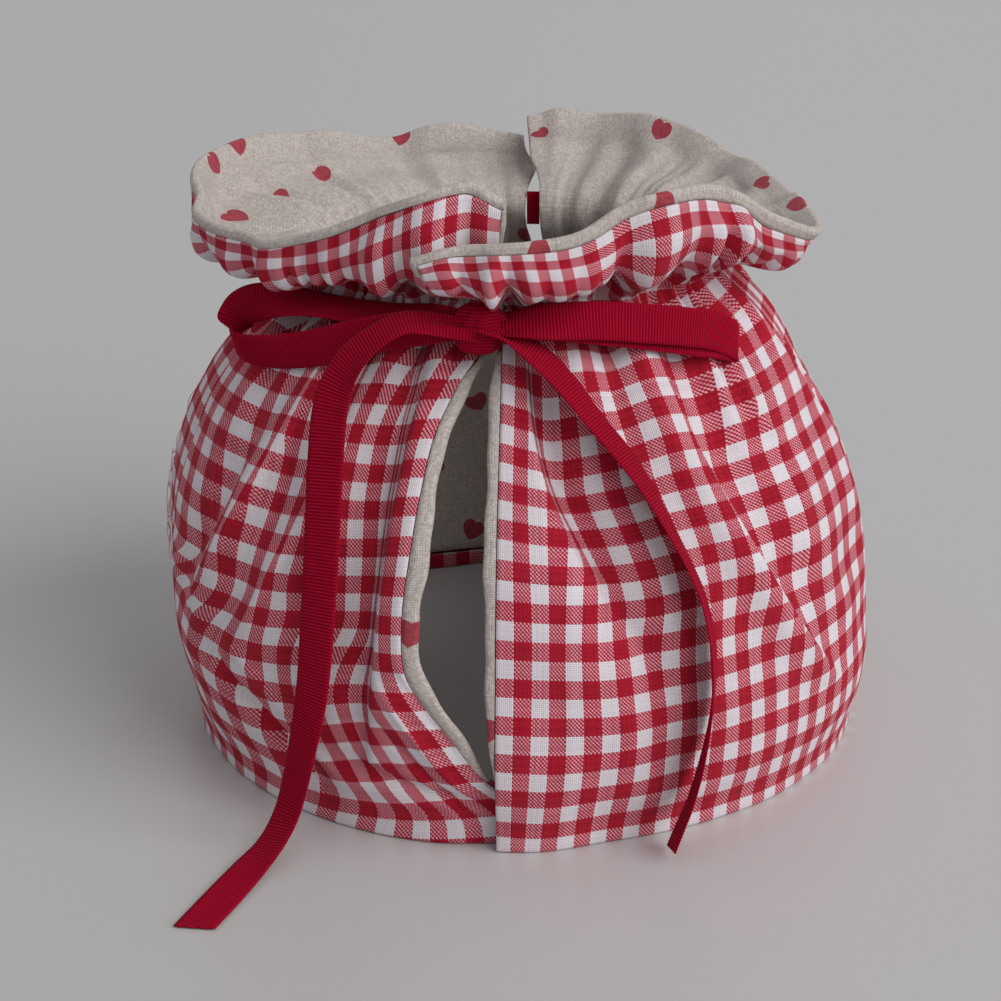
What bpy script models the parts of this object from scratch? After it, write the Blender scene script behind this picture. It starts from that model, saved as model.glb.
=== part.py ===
"""A drawstring tea cosy: two lined gingham halves drawn in at the neck under a frill, tied with a ribbon.

Metres, +Z up. The cosy stands on its hem at z = 0 round the Z axis, with its handle slit to the front (-Y).
Tables are in millimetres and degrees. Angles run round the axis from the handle slit, through the
right-hand side (+X), to the spout slit at 180. "Along" is the distance up the cloth from the hem.
"""

import math

import bmesh
import bpy
from mathutils import Vector

MM = 0.001

# ---------------------------------------------------------------- driving dimensions, in millimetres
GINGHAM_THICKNESS = 1.2
HEM_THICKNESS = 2.4
LINING_THICKNESS = 1.0
RIBBON_THICKNESS = 1.0
RIBBON_WIDTH = 10.0
PIECE_GAP = 0.3
LINING_CLEARANCE = 0.8

HEM_BAND = 4.0
NECK_LOW = 132.0
FRILL_ROOT = 151.0
FRILL_UNDER = 164.0
FRILL_BROW = 172.0
FRILL_RIM = 182.0
LINING_RIM = 184.4

# The handle slit stands a little to the left of the front, and the axis behind the footprint's middle,
# since the ribbon's tails lie out in front.
HANDLE_SLIT_TURN = -2.8
AXIS_PLACE = (-0.9, 16.5)
MEAN_REACH = 90.0

# Where the halves lap: the step out of the upper cloth, its flat part and its fade.
LAP_STEP = 2.3
LAP_FLAT = 8.0
LAP_FADE = 20.0
LAP_FOOT = (20.0, 45.0)
LAP_NECK = (112.0, 140.0)
LAP_IN_FRILL = 0.2

# The gathers of one half, the sway of their spacing and how far they run down into the shoulder.
GATHERS = 12
GATHER_DEPTH = 2.1
GATHER_SWAY = ((0.30, 3.0, 1.0), (0.16, 7.0, 0.0))
GATHER_RUN = 34.0
GATHER_RUN_SWAY = (18.0, 4.3, 0.8)
GATHER_LEFT_AT_RIM = 0.25
GATHER_FREE_EDGE = (1.0, 7.0)
LINING_GATHER_SHARE = 0.5
LINING_SLACK_BELOW_NECK = (45.0, 10.0)
LINING_SLACK_AT_RIM = 0.4
RIM_WAVES = 7
RIM_WAVE_DEPTH = 1.2

NORMAL_STEP = 0.4
CLOTH_COLUMNS = 48
LOOP_STATIONS = 26
TAIL_LEFT_STATIONS = 40
TAIL_RIGHT_STATIONS = 34
LEAD_STATIONS = 5
BACK_STATIONS = 4
KNOT_SEGMENTS = 14
KNOT_RINGS = 8

GINGHAM_COLOUR = (0.62, 0.16, 0.19)
LINING_COLOUR = (0.56, 0.50, 0.43)
RIBBON_COLOUR = (0.42, 0.005, 0.03)
GINGHAM_ROWS = (0.0, 4.0, 6.0, 16.0, 30.0, 48.0, 68.0, 88.0, 104.0, 118.0, 129.0, 138.0, 145.0, 151.0,
                158.0, 166.0, 174.0, 182.0)
LINING_ROWS = (7.0, 16.0, 30.0, 48.0, 68.0, 88.0, 104.0, 118.0, 129.0, 138.0, 145.0, 151.0, 158.0, 166.0,
               174.0, 184.4)

# The body's outline on four sides, from the hem to the root of the frill.
BODY_COLUMNS = ("along", "height", "front", "right", "back", "left")
BODY = (
    (0.0, 0.0, 98.0, 99.5, 97.0, 93.5),
    (4.0, 4.0, 98.0, 99.5, 97.0, 93.5),
    (20.0, 19.5, 101.5, 102.8, 100.5, 96.8),
    (37.0, 36.5, 102.5, 101.3, 101.5, 98.8),
    (66.0, 65.0, 98.0, 96.0, 97.5, 97.6),
    (88.0, 86.0, 90.0, 89.2, 90.0, 91.2),
    (107.5, 103.0, 80.0, 80.0, 80.5, 83.0),
    (125.0, 119.0, 68.0, 68.5, 69.0, 71.0),
    (137.0, 128.5, 58.5, 58.0, 58.5, 59.5),
    (145.0, 134.0, 55.5, 55.0, 55.5, 56.0),
    (151.0, 138.0, 60.0, 60.0, 60.0, 61.0),
)

# The frill: its puffed underside and its rim, at angles round each half.
FRILL_COLUMNS = ("angle", "under_reach", "under_height", "rim_reach", "rim_height", "bulge")
FRILL_RIGHT = (
    (-15.6, 75.0, 140.8, 77.5, 147.7, 1.0),
    (-10.0, 75.5, 141.0, 76.3, 149.9, 1.6),
    (0.0, 76.0, 141.5, 76.0, 151.0, 2.0),
    (15.0, 73.9, 141.5, 75.5, 152.5, 2.0),
    (32.0, 69.5, 143.0, 73.1, 160.5, 2.5),
    (53.0, 70.0, 143.5, 72.6, 157.0, 3.0),
    (65.0, 71.0, 137.5, 76.0, 147.5, 2.5),
    (78.0, 76.0, 136.5, 82.0, 141.5, 1.0),
    (104.0, 71.0, 138.5, 79.5, 142.5, 1.0),
    (128.0, 70.0, 140.0, 80.5, 147.0, 1.5),
    (148.0, 69.0, 142.0, 79.5, 154.5, 2.0),
    (170.0, 67.0, 143.5, 77.0, 155.0, 1.5),
    (182.0, 65.0, 145.0, 72.5, 153.0, 1.0),
)
FRILL_LEFT = (
    (178.0, 72.0, 140.0, 77.5, 147.0, 1.0),
    (198.0, 71.0, 140.5, 76.5, 152.0, 1.5),
    (212.0, 70.0, 140.5, 77.5, 149.5, 1.5),
    (234.0, 72.0, 141.0, 81.0, 154.0, 2.0),
    (249.0, 75.5, 141.0, 86.0, 154.5, 2.4),
    (265.0, 80.5, 140.5, 88.5, 154.5, 2.4),
    (275.0, 82.0, 139.5, 88.5, 152.0, 2.4),
    (284.0, 82.5, 138.0, 88.0, 148.5, 2.2),
    (294.0, 81.0, 136.5, 86.0, 146.0, 2.0),
    (309.0, 76.5, 136.5, 80.0, 146.0, 2.0),
    (323.0, 73.1, 137.5, 76.0, 150.5, 2.0),
    (338.0, 71.5, 140.5, 72.5, 159.0, 2.5),
    (352.0, 67.0, 144.0, 69.3, 164.0, 2.5),
    (360.0, 65.0, 145.5, 68.0, 160.0, 1.5),
)

# Where the free edges of the halves run at each slit. The lapping edge belongs to the half that starts
# there, the open edge to the half that ends there. Minus is short of the slit line on the open edge,
# and past it on the lapping edge.
SLIT_COLUMNS = ("along", "lapping_edge", "open_edge")
HANDLE_SLIT = (
    (0.0, 0.0, 6.0),
    (9.0, 0.0, 4.5),
    (16.0, 0.0, 0.5),
    (21.0, 0.0, -2.4),
    (33.0, 0.0, -6.8),
    (43.0, 0.0, -11.0),
    (51.0, 0.0, -13.2),
    (64.0, 0.0, -13.7),
    (80.0, 0.0, -13.2),
    (95.0, 0.0, -12.8),
    (110.0, 0.0, -12.0),
    (122.0, 0.0, -9.2),
    (131.0, 0.0, -5.6),
    (138.0, 0.0, -4.0),
    (145.0, 0.0, -3.6),
    (151.0, -1.0, -3.0),
    (157.0, -6.0, -1.8),
    (164.0, -12.0, -0.6),
    (184.4, -15.6, 0.0),
)
SPOUT_SLIT = (
    (0.0, 0.0, 6.0),
    (9.0, 0.0, 4.5),
    (17.0, 0.0, 0.5),
    (23.0, 0.0, -2.6),
    (35.0, 0.0, -7.4),
    (47.0, 0.0, -12.0),
    (64.0, 0.0, -14.6),
    (80.0, 0.0, -14.8),
    (95.0, 0.0, -13.2),
    (110.0, 0.0, -10.6),
    (122.0, 0.0, -8.4),
    (131.0, 0.0, -7.0),
    (138.0, 0.0, -6.4),
    (145.0, 0.0, -6.2),
    (151.0, -0.5, -5.0),
    (157.0, -1.0, -3.6),
    (164.0, -1.0, -1.6),
    (184.4, 3.0, -0.5),
)

# How far the lining stands out past the gingham at the free edges.
PEEP_COLUMNS = ("along", "lapping_edge", "open_edge")
PEEP = (
    (0.0, -1.5, -1.5),
    (16.0, -1.5, 0.0),
    (30.0, 1.0, 3.0),
    (60.0, 2.4, 4.0),
    (120.0, 2.4, 2.4),
    (136.0, 0.2, 0.2),
    (150.0, 0.2, 0.2),
    (164.0, 1.0, 0.5),
    (184.4, 2.0, 0.8),
)

# Main folds: each runs from a lower through a middle to an upper point, a ridge where its height is plus.
FOLD_COLUMNS = ("low_along", "low_angle", "middle_angle", "high_along", "high_angle", "height", "width")
FOLDS = (
    (76.0, 11.5, 7.5, 139.0, 6.0, -2.8, 4.5),
    (48.0, 23.5, 17.5, 86.0, 11.0, -1.6, 5.5),
    (14.0, 28.5, 19.5, 126.0, 14.0, -2.6, 9.0),
    (26.0, 65.0, 43.5, 134.0, 30.0, 3.8, 6.5),
    (40.0, 73.0, 54.0, 130.0, 42.0, -2.6, 7.0),
    (30.0, 84.0, 79.0, 134.0, 74.0, 2.6, 8.0),
    (40.0, 108.0, 110.0, 132.0, 112.0, -2.6, 8.0),
    (24.0, 136.0, 133.0, 132.0, 130.0, 3.0, 8.0),
    (60.0, 156.0, 158.0, 134.0, 160.0, -2.4, 6.0),
    (50.0, 193.0, 190.0, 134.0, 187.0, -2.6, 6.0),
    (30.0, 222.0, 218.0, 134.0, 214.0, 3.0, 8.0),
    (44.0, 246.0, 243.0, 132.0, 240.0, -2.6, 8.0),
    (26.0, 272.0, 270.0, 130.0, 268.0, 2.4, 8.0),
    (38.0, 292.0, 305.0, 126.0, 311.0, -2.6, 6.5),
    (30.0, 303.0, 318.5, 130.0, 323.0, 3.6, 6.0),
    (24.0, 313.0, 322.5, 84.0, 333.0, 1.6, 6.0),
    (46.0, 328.0, 331.0, 130.0, 335.0, -2.4, 6.5),
    (34.0, 346.0, 346.0, 118.0, 346.0, 1.8, 5.5),
    (10.0, 332.0, 321.0, 42.0, 304.0, -2.2, 6.0),
    (8.0, 356.0, 349.0, 46.0, 340.0, 1.4, 6.0),
)

# The ribbon's route, with the way that its outer face looks at each point.
RIBBON_COLUMNS = ("x", "y", "z", "face_x", "face_y", "face_z")
KNOT = (-9.0, -66.5, 130.0)
KNOT_SIZE = (6.5, 4.0, 6.8)
LOOP_RIGHT = (
    (-7.0, -68.5, 130.5, 0.0, -1.0, 0.1),
    (12.0, -69.5, 131.0, 0.1, -0.9, 0.4),
    (34.0, -65.0, 128.5, 0.4, -0.7, 0.6),
    (50.0, -56.5, 125.5, 0.5, -0.6, 0.6),
    (58.5, -49.5, 123.2, 0.8, -0.2, 0.5),
    (60.3, -45.8, 121.3, 0.7, 0.7, -0.1),
    (56.0, -47.2, 120.3, -0.2, 0.7, -0.6),
    (47.0, -54.0, 122.0, -0.5, 0.6, -0.6),
    (32.0, -62.0, 125.5, -0.4, 0.7, -0.6),
    (12.0, -66.0, 128.0, -0.1, 0.9, -0.4),
    (-7.0, -65.5, 129.0, 0.0, 1.0, -0.1),
)
LOOP_LEFT = (
    (-11.0, -65.0, 131.0, 0.3, 0.9, 0.2),
    (-24.0, -61.5, 130.5, 0.4, 0.8, 0.5),
    (-42.0, -52.5, 130.5, 0.3, 0.6, 0.7),
    (-58.0, -41.5, 129.5, 0.3, 0.6, 0.7),
    (-70.5, -34.5, 128.0, 0.1, 0.7, 0.7),
    (-76.5, -32.0, 124.0, -0.7, 0.7, 0.2),
    (-74.5, -37.0, 119.8, -0.7, -0.3, -0.7),
    (-64.5, -46.0, 118.3, -0.4, -0.5, -0.7),
    (-48.0, -57.5, 120.5, -0.2, -0.6, -0.7),
    (-30.0, -66.0, 125.0, -0.1, -0.9, -0.5),
    (-11.0, -68.0, 129.0, -0.1, -1.0, -0.2),
)
TAIL_LEFT = (
    (-10.0, -70.0, 130.0, 0.0, -1.0, 0.1),
    (-19.0, -71.0, 129.5, -0.1, -1.0, 0.2),
    (-29.0, -71.0, 125.5, -0.2, -1.0, 0.3),
    (-37.5, -71.0, 118.5, -0.3, -1.0, 0.4),
    (-43.5, -74.0, 109.0, -0.4, -1.0, 0.5),
    (-47.5, -81.0, 94.0, -0.4, -1.0, 0.4),
    (-50.0, -88.5, 75.0, -0.4, -1.0, 0.2),
    (-52.5, -92.5, 55.0, -0.4, -1.0, 0.0),
    (-54.0, -94.0, 35.0, -0.4, -1.0, 0.0),
    (-56.5, -94.5, 18.0, -0.4, -1.0, 0.1),
    (-59.5, -97.5, 6.5, -0.4, -0.8, 0.7),
    (-63.0, -104.0, 1.6, -0.2, -0.3, 1.0),
    (-68.0, -117.0, 0.9, 0.0, 0.0, 1.0),
    (-75.5, -134.0, 0.7, 0.0, 0.0, 1.0),
)
SLIT_LEAD = (
    (-8.0, -65.0, 129.0, 1.0, 0.2, 0.0),
    (-5.8, -61.0, 130.0, 1.0, 0.1, 0.0),
    (-4.7, -57.0, 131.0, 1.0, 0.0, 0.0),
    (-4.6, -53.5, 131.5, 1.0, 0.0, 0.0),
)
BACK_STRETCH = (
    (3.6, 55.0, 133.0, 0.1, 1.0, 0.0),
    (7.4, 54.7, 133.0, 0.1, 1.0, 0.0),
)
TAIL_RIGHT = (
    (-6.0, -69.5, 128.5, 0.1, -1.0, 0.1),
    (4.0, -71.8, 126.0, 0.1, -1.0, 0.3),
    (13.0, -75.0, 119.0, 0.3, -1.0, 0.5),
    (23.0, -80.0, 107.0, 0.5, -1.0, 0.5),
    (34.5, -85.0, 91.0, 0.8, -0.8, 0.4),
    (44.0, -89.5, 74.0, 1.0, -0.6, 0.2),
    (50.5, -92.5, 54.0, 1.0, -0.3, 0.0),
    (51.5, -94.0, 40.0, 1.0, -0.2, 0.0),
    (49.0, -95.0, 26.0, 1.0, -0.25, 0.0),
    (45.0, -98.0, 12.0, 1.0, -0.4, 0.2),
    (42.0, -102.5, 4.6, 0.8, -0.5, 0.5),
)


# ---------------------------------------------------------------- small helpers
def column(table, names, name):
    """One named column of a table."""
    index = names.index(name)
    return [row[index] for row in table]


def smooth(knots, values, at):
    """Value at one place on the smooth curve through a table's points."""
    last = len(knots) - 1
    at = min(max(at, knots[0]), knots[last])
    low = 0
    while low < last - 1 and at > knots[low + 1]:
        low += 1

    def slope(index):
        before = max(index - 1, 0)
        after = min(index + 1, last)
        return (values[after] - values[before]) / (knots[after] - knots[before])

    span = knots[low + 1] - knots[low]
    part = (at - knots[low]) / span
    rise = values[low + 1] - values[low]
    start = slope(low) * span
    end = slope(low + 1) * span
    bend = 3.0 * rise - 2.0 * start - end
    twist = start + end - 2.0 * rise
    return values[low] + part * (start + part * (bend + part * twist))


def ease(value, low, high):
    """0 below low, 1 above high, smooth between."""
    part = min(max((value - low) / (high - low), 0.0), 1.0)
    return part * part * (3.0 - 2.0 * part)


def look_up(table, names, name, key, at):
    return smooth(column(table, names, key), column(table, names, name), at)


# ---------------------------------------------------------------- the cloth's shape
class Half:
    """One half of the cosy: where it starts and ends, and its frill."""

    def __init__(self, name, start_angle, start_slit, end_slit, frill):
        self.name = name
        self.start_angle = start_angle
        self.start_slit = start_slit
        self.end_slit = end_slit
        self.frill = frill

    def start(self, along):
        return self.start_angle + look_up(self.start_slit, SLIT_COLUMNS, "lapping_edge", "along", along)

    def end(self, along):
        return self.start_angle + 180.0 + look_up(self.end_slit, SLIT_COLUMNS, "open_edge", "along", along)

    def frill_value(self, name, angle):
        return look_up(self.frill, FRILL_COLUMNS, name, "angle", angle)


RIGHT = Half("right", 0.0, HANDLE_SLIT, SPOUT_SLIT, FRILL_RIGHT)
LEFT = Half("left", 180.0, SPOUT_SLIT, HANDLE_SLIT, FRILL_LEFT)


def body_reach(row, angle):
    """The outline's reach at any angle, blended from the four sides of one row."""
    reach = 0.0
    for side, name in enumerate(("front", "right", "back", "left")):
        away = math.radians(angle - 90.0 * side)
        if math.cos(away) > 0.0:
            reach += row[BODY_COLUMNS.index(name)] * math.cos(away) ** 2
    return reach


def section(half, angle):
    """The upright section at one angle: lists of along, reach and height from the hem to the rim."""
    alongs = column(BODY, BODY_COLUMNS, "along")
    heights = column(BODY, BODY_COLUMNS, "height")
    reaches = [body_reach(row, angle) for row in BODY]
    under = Vector((half.frill_value("under_reach", angle), half.frill_value("under_height", angle)))
    rim = Vector((half.frill_value("rim_reach", angle), half.frill_value("rim_height", angle)))
    rise = (rim - under).normalized()
    brow = under.lerp(rim, 0.5) + half.frill_value("bulge", angle) * Vector((rise.y, -rise.x))
    beyond = rim + (LINING_RIM - FRILL_RIM) * rise
    for along, spot in ((FRILL_UNDER, under), (FRILL_BROW, brow), (FRILL_RIM, rim), (LINING_RIM, beyond)):
        alongs.append(along)
        reaches.append(spot.x)
        heights.append(spot.y)
    return alongs, reaches, heights


def base_point(half, angle, along):
    """A point of the smooth cloth, before its folds and gathers."""
    alongs, reaches, heights = section(half, angle)
    reach = smooth(alongs, reaches, along)
    turn = math.radians(angle + HANDLE_SLIT_TURN)
    return Vector((reach * math.sin(turn), -reach * math.cos(turn), smooth(alongs, heights, along)))


def base_normal(half, angle, along):
    """The way the gingham's face looks on the smooth cloth."""
    above = base_point(half, angle, min(along + NORMAL_STEP, LINING_RIM))
    below = base_point(half, angle, max(along - NORMAL_STEP, 0.0))
    after = base_point(half, angle + NORMAL_STEP, along)
    before = base_point(half, angle - NORMAL_STEP, along)
    return (after - before).cross(above - below).normalized()


def fold_relief(angle, along):
    """How far the main folds push the cloth out at one place."""
    relief = 0.0
    for low_along, low_angle, middle_angle, high_along, high_angle, height, width in FOLDS:
        if low_along < along < high_along:
            part = (along - low_along) / (high_along - low_along)
            bow = middle_angle - (low_angle + high_angle) / 2.0
            middle = low_angle + part * (high_angle - low_angle) + 4.0 * part * (1.0 - part) * bow
            away = math.radians(angle - middle) * MEAN_REACH / width
            relief += height * math.exp(-away * away) * math.sin(math.pi * part) ** 0.7
    return relief


def sway(table, across):
    """A slow sum of waves, one for each row of height, count and turn."""
    return sum(height * math.sin(math.tau * count * across + turn) for height, count, turn in table)


def gather_relief(half, angle, along, share):
    """The gathers drawn up at the neck, which run into the shoulder and fan out in the frill."""
    across = (angle - half.start_angle) / 180.0
    drift = sway(GATHER_SWAY, across)
    wave = math.cos(math.tau * (GATHERS * across + drift))
    run = GATHER_RUN + sway((GATHER_RUN_SWAY,), across)
    spread = 1.0 - (1.0 - GATHER_LEFT_AT_RIM) * ease(along, FRILL_UNDER, FRILL_RIM)
    drawn = spread * ease(along, NECK_LOW - run, NECK_LOW + HEM_BAND)
    ends = ease(min(angle - half.start(along), half.end(along) - angle), *GATHER_FREE_EDGE)
    rim_wave = math.sin(math.tau * (RIM_WAVES * across + drift / 2.0))
    rim_share = ease(along, FRILL_ROOT, FRILL_RIM)
    return ends * (share * GATHER_DEPTH * drawn * wave + RIM_WAVE_DEPTH * rim_share * rim_wave)


def lap_relief(half, angle, along):
    """The starting edge of each half steps out over the ending edge of the other."""
    from_start = math.radians(angle - half.start(along)) * MEAN_REACH
    from_end = math.radians(half.end(along) - angle) * MEAN_REACH
    foot = 1.0 - ease(along, *LAP_FOOT)
    neck = ease(along, *LAP_NECK) * (1.0 - (1.0 - LAP_IN_FRILL) * ease(along, FRILL_ROOT, FRILL_UNDER))
    over = 1.0 - ease(from_start, LAP_FLAT, LAP_FLAT + LAP_FADE)
    under = 1.0 - ease(from_end, LAP_FLAT, LAP_FLAT + LAP_FADE)
    return LAP_STEP * max(foot, neck) * (over - under)


def cloth_point(half, angle, along, inward=0.0, gather_share=1.0):
    """A point of the folded cloth, moved inward from the gingham's face. The hem's band stands plumb."""
    held = max(along, HEM_BAND)
    spot = base_point(half, angle, held)
    relief = fold_relief(angle, held) + gather_relief(half, angle, held, gather_share)
    relief += lap_relief(half, angle, held)
    spot += (relief - inward) * base_normal(half, angle, held)
    if along <= HEM_BAND:
        spot.z = along
    return spot


# ---------------------------------------------------------------- meshes
def place(thing, collection):
    """Stand a thing's own axis where the cosy's axis is, so that the footprint is centred."""
    thing.location = (AXIS_PLACE[0] * MM, AXIS_PLACE[1] * MM, 0.0)
    collection.objects.link(thing)


def sheet_object(name, points, material, collection):
    """An open sheet lofted through rows of points, each row with the same count."""
    mesh = bpy.data.meshes.new(name)
    builder = bmesh.new()
    grid = [[builder.verts.new(Vector(point) * MM) for point in row] for row in points]
    for lower, upper in zip(grid, grid[1:]):
        for index in range(len(lower) - 1):
            builder.faces.new((lower[index], lower[index + 1], upper[index + 1], upper[index]))
    builder.normal_update()
    builder.to_mesh(mesh)
    builder.free()
    mesh.shade_smooth()
    sheet = bpy.data.objects.new(name, mesh)
    sheet.data.materials.append(material)
    place(sheet, collection)
    return sheet


def thicken(sheet, thickness):
    """Give a sheet its thickness, behind its face."""
    solid = sheet.modifiers.new("thickness", "SOLIDIFY")
    solid.thickness = thickness * MM
    solid.offset = -1.0
    return solid


def edge_angles(half, along):
    """The angles of one row's columns, from edge to edge."""
    start = half.start(along)
    end = half.end(along)
    return [start + (end - start) * index / CLOTH_COLUMNS for index in range(CLOTH_COLUMNS + 1)]


def gingham_half(half, material, collection):
    """One outer half, with a hem twice as thick as the cloth."""
    rows = []
    for along in GINGHAM_ROWS:
        rows.append([cloth_point(half, angle, along) for angle in edge_angles(half, along)])
    sheet = sheet_object("gingham_" + half.name, rows, material, collection)
    weights = sheet.vertex_groups.new(name="thickness")
    hem_count = (CLOTH_COLUMNS + 1) * sum(1 for along in GINGHAM_ROWS if along <= HEM_BAND)
    whole_count = (CLOTH_COLUMNS + 1) * len(GINGHAM_ROWS)
    weights.add(list(range(hem_count)), 1.0, "REPLACE")
    weights.add(list(range(hem_count, whole_count)), GINGHAM_THICKNESS / HEM_THICKNESS, "REPLACE")
    solid = thicken(sheet, HEM_THICKNESS)
    solid.vertex_group = weights.name
    return sheet


def lining_inset(along):
    """How far the lining's face lies inside the gingham's, with room for the gathers it does not follow."""
    below, above = LINING_SLACK_BELOW_NECK
    slack = GATHER_DEPTH * (1.0 - LINING_GATHER_SHARE) * ease(along, NECK_LOW - below, NECK_LOW - above)
    slack *= 1.0 - (1.0 - LINING_SLACK_AT_RIM) * ease(along, FRILL_BROW, LINING_RIM)
    return GINGHAM_THICKNESS + PIECE_GAP + LINING_CLEARANCE + slack


def lining_half(half, material, collection):
    """One lining half, inside its gingham and standing out past it at the free edges and the rim."""
    rows = []
    for along in LINING_ROWS:
        degrees = math.degrees(1.0 / base_point(half, half.start(along), along).xy.length)
        angles = edge_angles(half, along)
        angles[0] -= degrees * look_up(PEEP, PEEP_COLUMNS, "lapping_edge", "along", along)
        angles[-1] += degrees * look_up(PEEP, PEEP_COLUMNS, "open_edge", "along", along)
        inset = lining_inset(along)
        rows.append([cloth_point(half, angle, along, inset, LINING_GATHER_SHARE) for angle in angles])
    sheet = sheet_object("lining_" + half.name, rows, material, collection)
    thicken(sheet, LINING_THICKNESS)
    return sheet


def curve_through(points, count):
    """Evenly numbered places on the smooth curve through a route's rows, as vectors of the same columns."""
    knots = [float(index) for index in range(len(points))]
    columns = list(zip(*points))
    places = [index * (len(points) - 1) / (count - 1) for index in range(count)]
    return [[smooth(knots, values, place) for values in columns] for place in places]


def ribbon_strip(name, route, count, collection):
    """A strip of ribbon along a route, its face turned as each row says, closed at both cut ends."""
    stations = curve_through(route, count)
    centres = [Vector(station[:3]) for station in stations]
    mesh = bpy.data.meshes.new(name)
    builder = bmesh.new()
    rings = []
    for index, station in enumerate(stations):
        ahead = centres[min(index + 1, count - 1)]
        behind = centres[max(index - 1, 0)]
        run = (ahead - behind).normalized()
        face = Vector(station[3:])
        face = (face - face.dot(run) * run).normalized()
        half_width = run.cross(face) * RIBBON_WIDTH / 2.0
        half_depth = face * RIBBON_THICKNESS / 2.0
        corners = (half_width + half_depth, -half_width + half_depth, -half_width - half_depth,
                   half_width - half_depth)
        rings.append([builder.verts.new((centres[index] + corner) * MM) for corner in corners])
    for lower, upper in zip(rings, rings[1:]):
        for index in range(4):
            after = (index + 1) % 4
            builder.faces.new((lower[index], lower[after], upper[after], upper[index]))
    builder.faces.new(list(reversed(rings[0])))
    builder.faces.new(rings[-1])
    bmesh.ops.recalc_face_normals(builder, faces=builder.faces)
    builder.to_mesh(mesh)
    builder.free()
    strip = bpy.data.objects.new(name, mesh)
    place(strip, collection)
    return strip


def knot_lump(name, collection):
    """The tied knot: a plump wrap of ribbon."""
    mesh = bpy.data.meshes.new(name)
    builder = bmesh.new()
    bmesh.ops.create_uvsphere(builder, u_segments=KNOT_SEGMENTS, v_segments=KNOT_RINGS, radius=1.0)
    for vert in builder.verts:
        vert.co = (Vector(KNOT) + Vector(KNOT_SIZE) * vert.co) * MM
    builder.to_mesh(mesh)
    builder.free()
    lump = bpy.data.objects.new(name, mesh)
    place(lump, collection)
    return lump


def join_solids(body, others):
    """Unite closed solids into the first one."""
    for other in others:
        union = body.modifiers.new("unite", "BOOLEAN")
        union.operation = "UNION"
        union.solver = "EXACT"
        union.object = other
        other.hide_render = True
        other.display_type = "WIRE"


def ribbon_bow(material, parts, cutters):
    """The bow: a knot, two loops, two free tails and the doubled end that comes out of the slit."""
    bow = knot_lump("ribbon_bow", parts)
    bow.data.materials.append(material)
    routes = (
        ("loop_right", LOOP_RIGHT, LOOP_STATIONS),
        ("loop_left", LOOP_LEFT, LOOP_STATIONS),
        ("tail_left", TAIL_LEFT, TAIL_LEFT_STATIONS),
        ("tail_right", TAIL_RIGHT, TAIL_RIGHT_STATIONS),
        ("slit_lead", SLIT_LEAD, LEAD_STATIONS),
    )
    join_solids(bow, [ribbon_strip(name, route, count, cutters) for name, route, count in routes])
    return bow


def plain_material(name, colour, roughness):
    material = bpy.data.materials.new(name)
    material.use_nodes = True
    shader = material.node_tree.nodes["Principled BSDF"]
    shader.inputs["Base Color"].default_value = (*colour, 1.0)
    shader.inputs["Roughness"].default_value = roughness
    shader.inputs["Metallic"].default_value = 0.0
    return material


def new_collection(name):
    collection = bpy.data.collections.new(name)
    bpy.context.scene.collection.children.link(collection)
    return collection


def main():
    for thing in list(bpy.data.objects):
        bpy.data.objects.remove(thing, do_unlink=True)
    parts = new_collection("tea_cosy")
    cutters = new_collection("cutters")
    for half in (RIGHT, LEFT):
        gingham_half(half, plain_material("gingham_" + half.name, GINGHAM_COLOUR, 0.85), parts)
        lining_half(half, plain_material("lining_" + half.name, LINING_COLOUR, 0.9), parts)
    ribbon_bow(plain_material("ribbon_bow", RIBBON_COLOUR, 0.55), parts, cutters)
    back = ribbon_strip("ribbon_back", BACK_STRETCH, BACK_STATIONS, parts)
    back.data.materials.append(plain_material("ribbon_back", RIBBON_COLOUR, 0.55))


main()
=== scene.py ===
"""The tea cosy's looks: gathered gingham, heart-print lining, grosgrain bow, floor, light and camera.

The large shapes come from the same tables as the CAD source, in millimetres and degrees, and are read
much more finely here. Sharper creases, finer gathers, turned edges and ribs are added. Angles run round
the cosy's own axis from the handle slit through the right-hand side to the spout slit at 180. "Along"
is the distance up the cloth from the hem.
"""

import math
from functools import partialmethod

import bpy
import numpy as np
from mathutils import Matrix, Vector


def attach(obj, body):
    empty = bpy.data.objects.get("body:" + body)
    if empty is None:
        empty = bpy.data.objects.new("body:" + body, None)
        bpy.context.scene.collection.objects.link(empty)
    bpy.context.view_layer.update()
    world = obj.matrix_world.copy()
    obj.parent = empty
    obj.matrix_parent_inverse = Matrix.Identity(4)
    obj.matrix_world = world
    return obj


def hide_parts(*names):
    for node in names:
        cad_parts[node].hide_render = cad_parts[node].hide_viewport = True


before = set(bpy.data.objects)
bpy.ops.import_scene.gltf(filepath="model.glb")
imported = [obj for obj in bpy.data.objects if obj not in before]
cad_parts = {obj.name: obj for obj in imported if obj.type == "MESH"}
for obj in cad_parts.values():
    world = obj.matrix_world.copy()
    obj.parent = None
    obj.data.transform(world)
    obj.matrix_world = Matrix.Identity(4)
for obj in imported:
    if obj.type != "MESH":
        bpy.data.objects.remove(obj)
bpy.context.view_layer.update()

MM = 0.001

# ---------------------------------------------------------------- driving dimensions, in millimetres
GINGHAM_THICKNESS = 1.2
RIBBON_WIDTH = 10.0
PIECE_GAP = 0.3
LINING_CLEARANCE = 0.8

HEM_BAND = 4.0
NECK_LOW = 132.0
FRILL_ROOT = 151.0
FRILL_UNDER = 164.0
FRILL_BROW = 172.0
FRILL_RIM = 182.0
LINING_RIM = 184.4

# The handle slit stands a little to the left of the front, and the axis behind the footprint's middle,
# since the ribbon's tails lie out in front.
HANDLE_SLIT_TURN = -2.8
AXIS_PLACE = (-0.9, 16.5)
MEAN_REACH = 90.0

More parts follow.
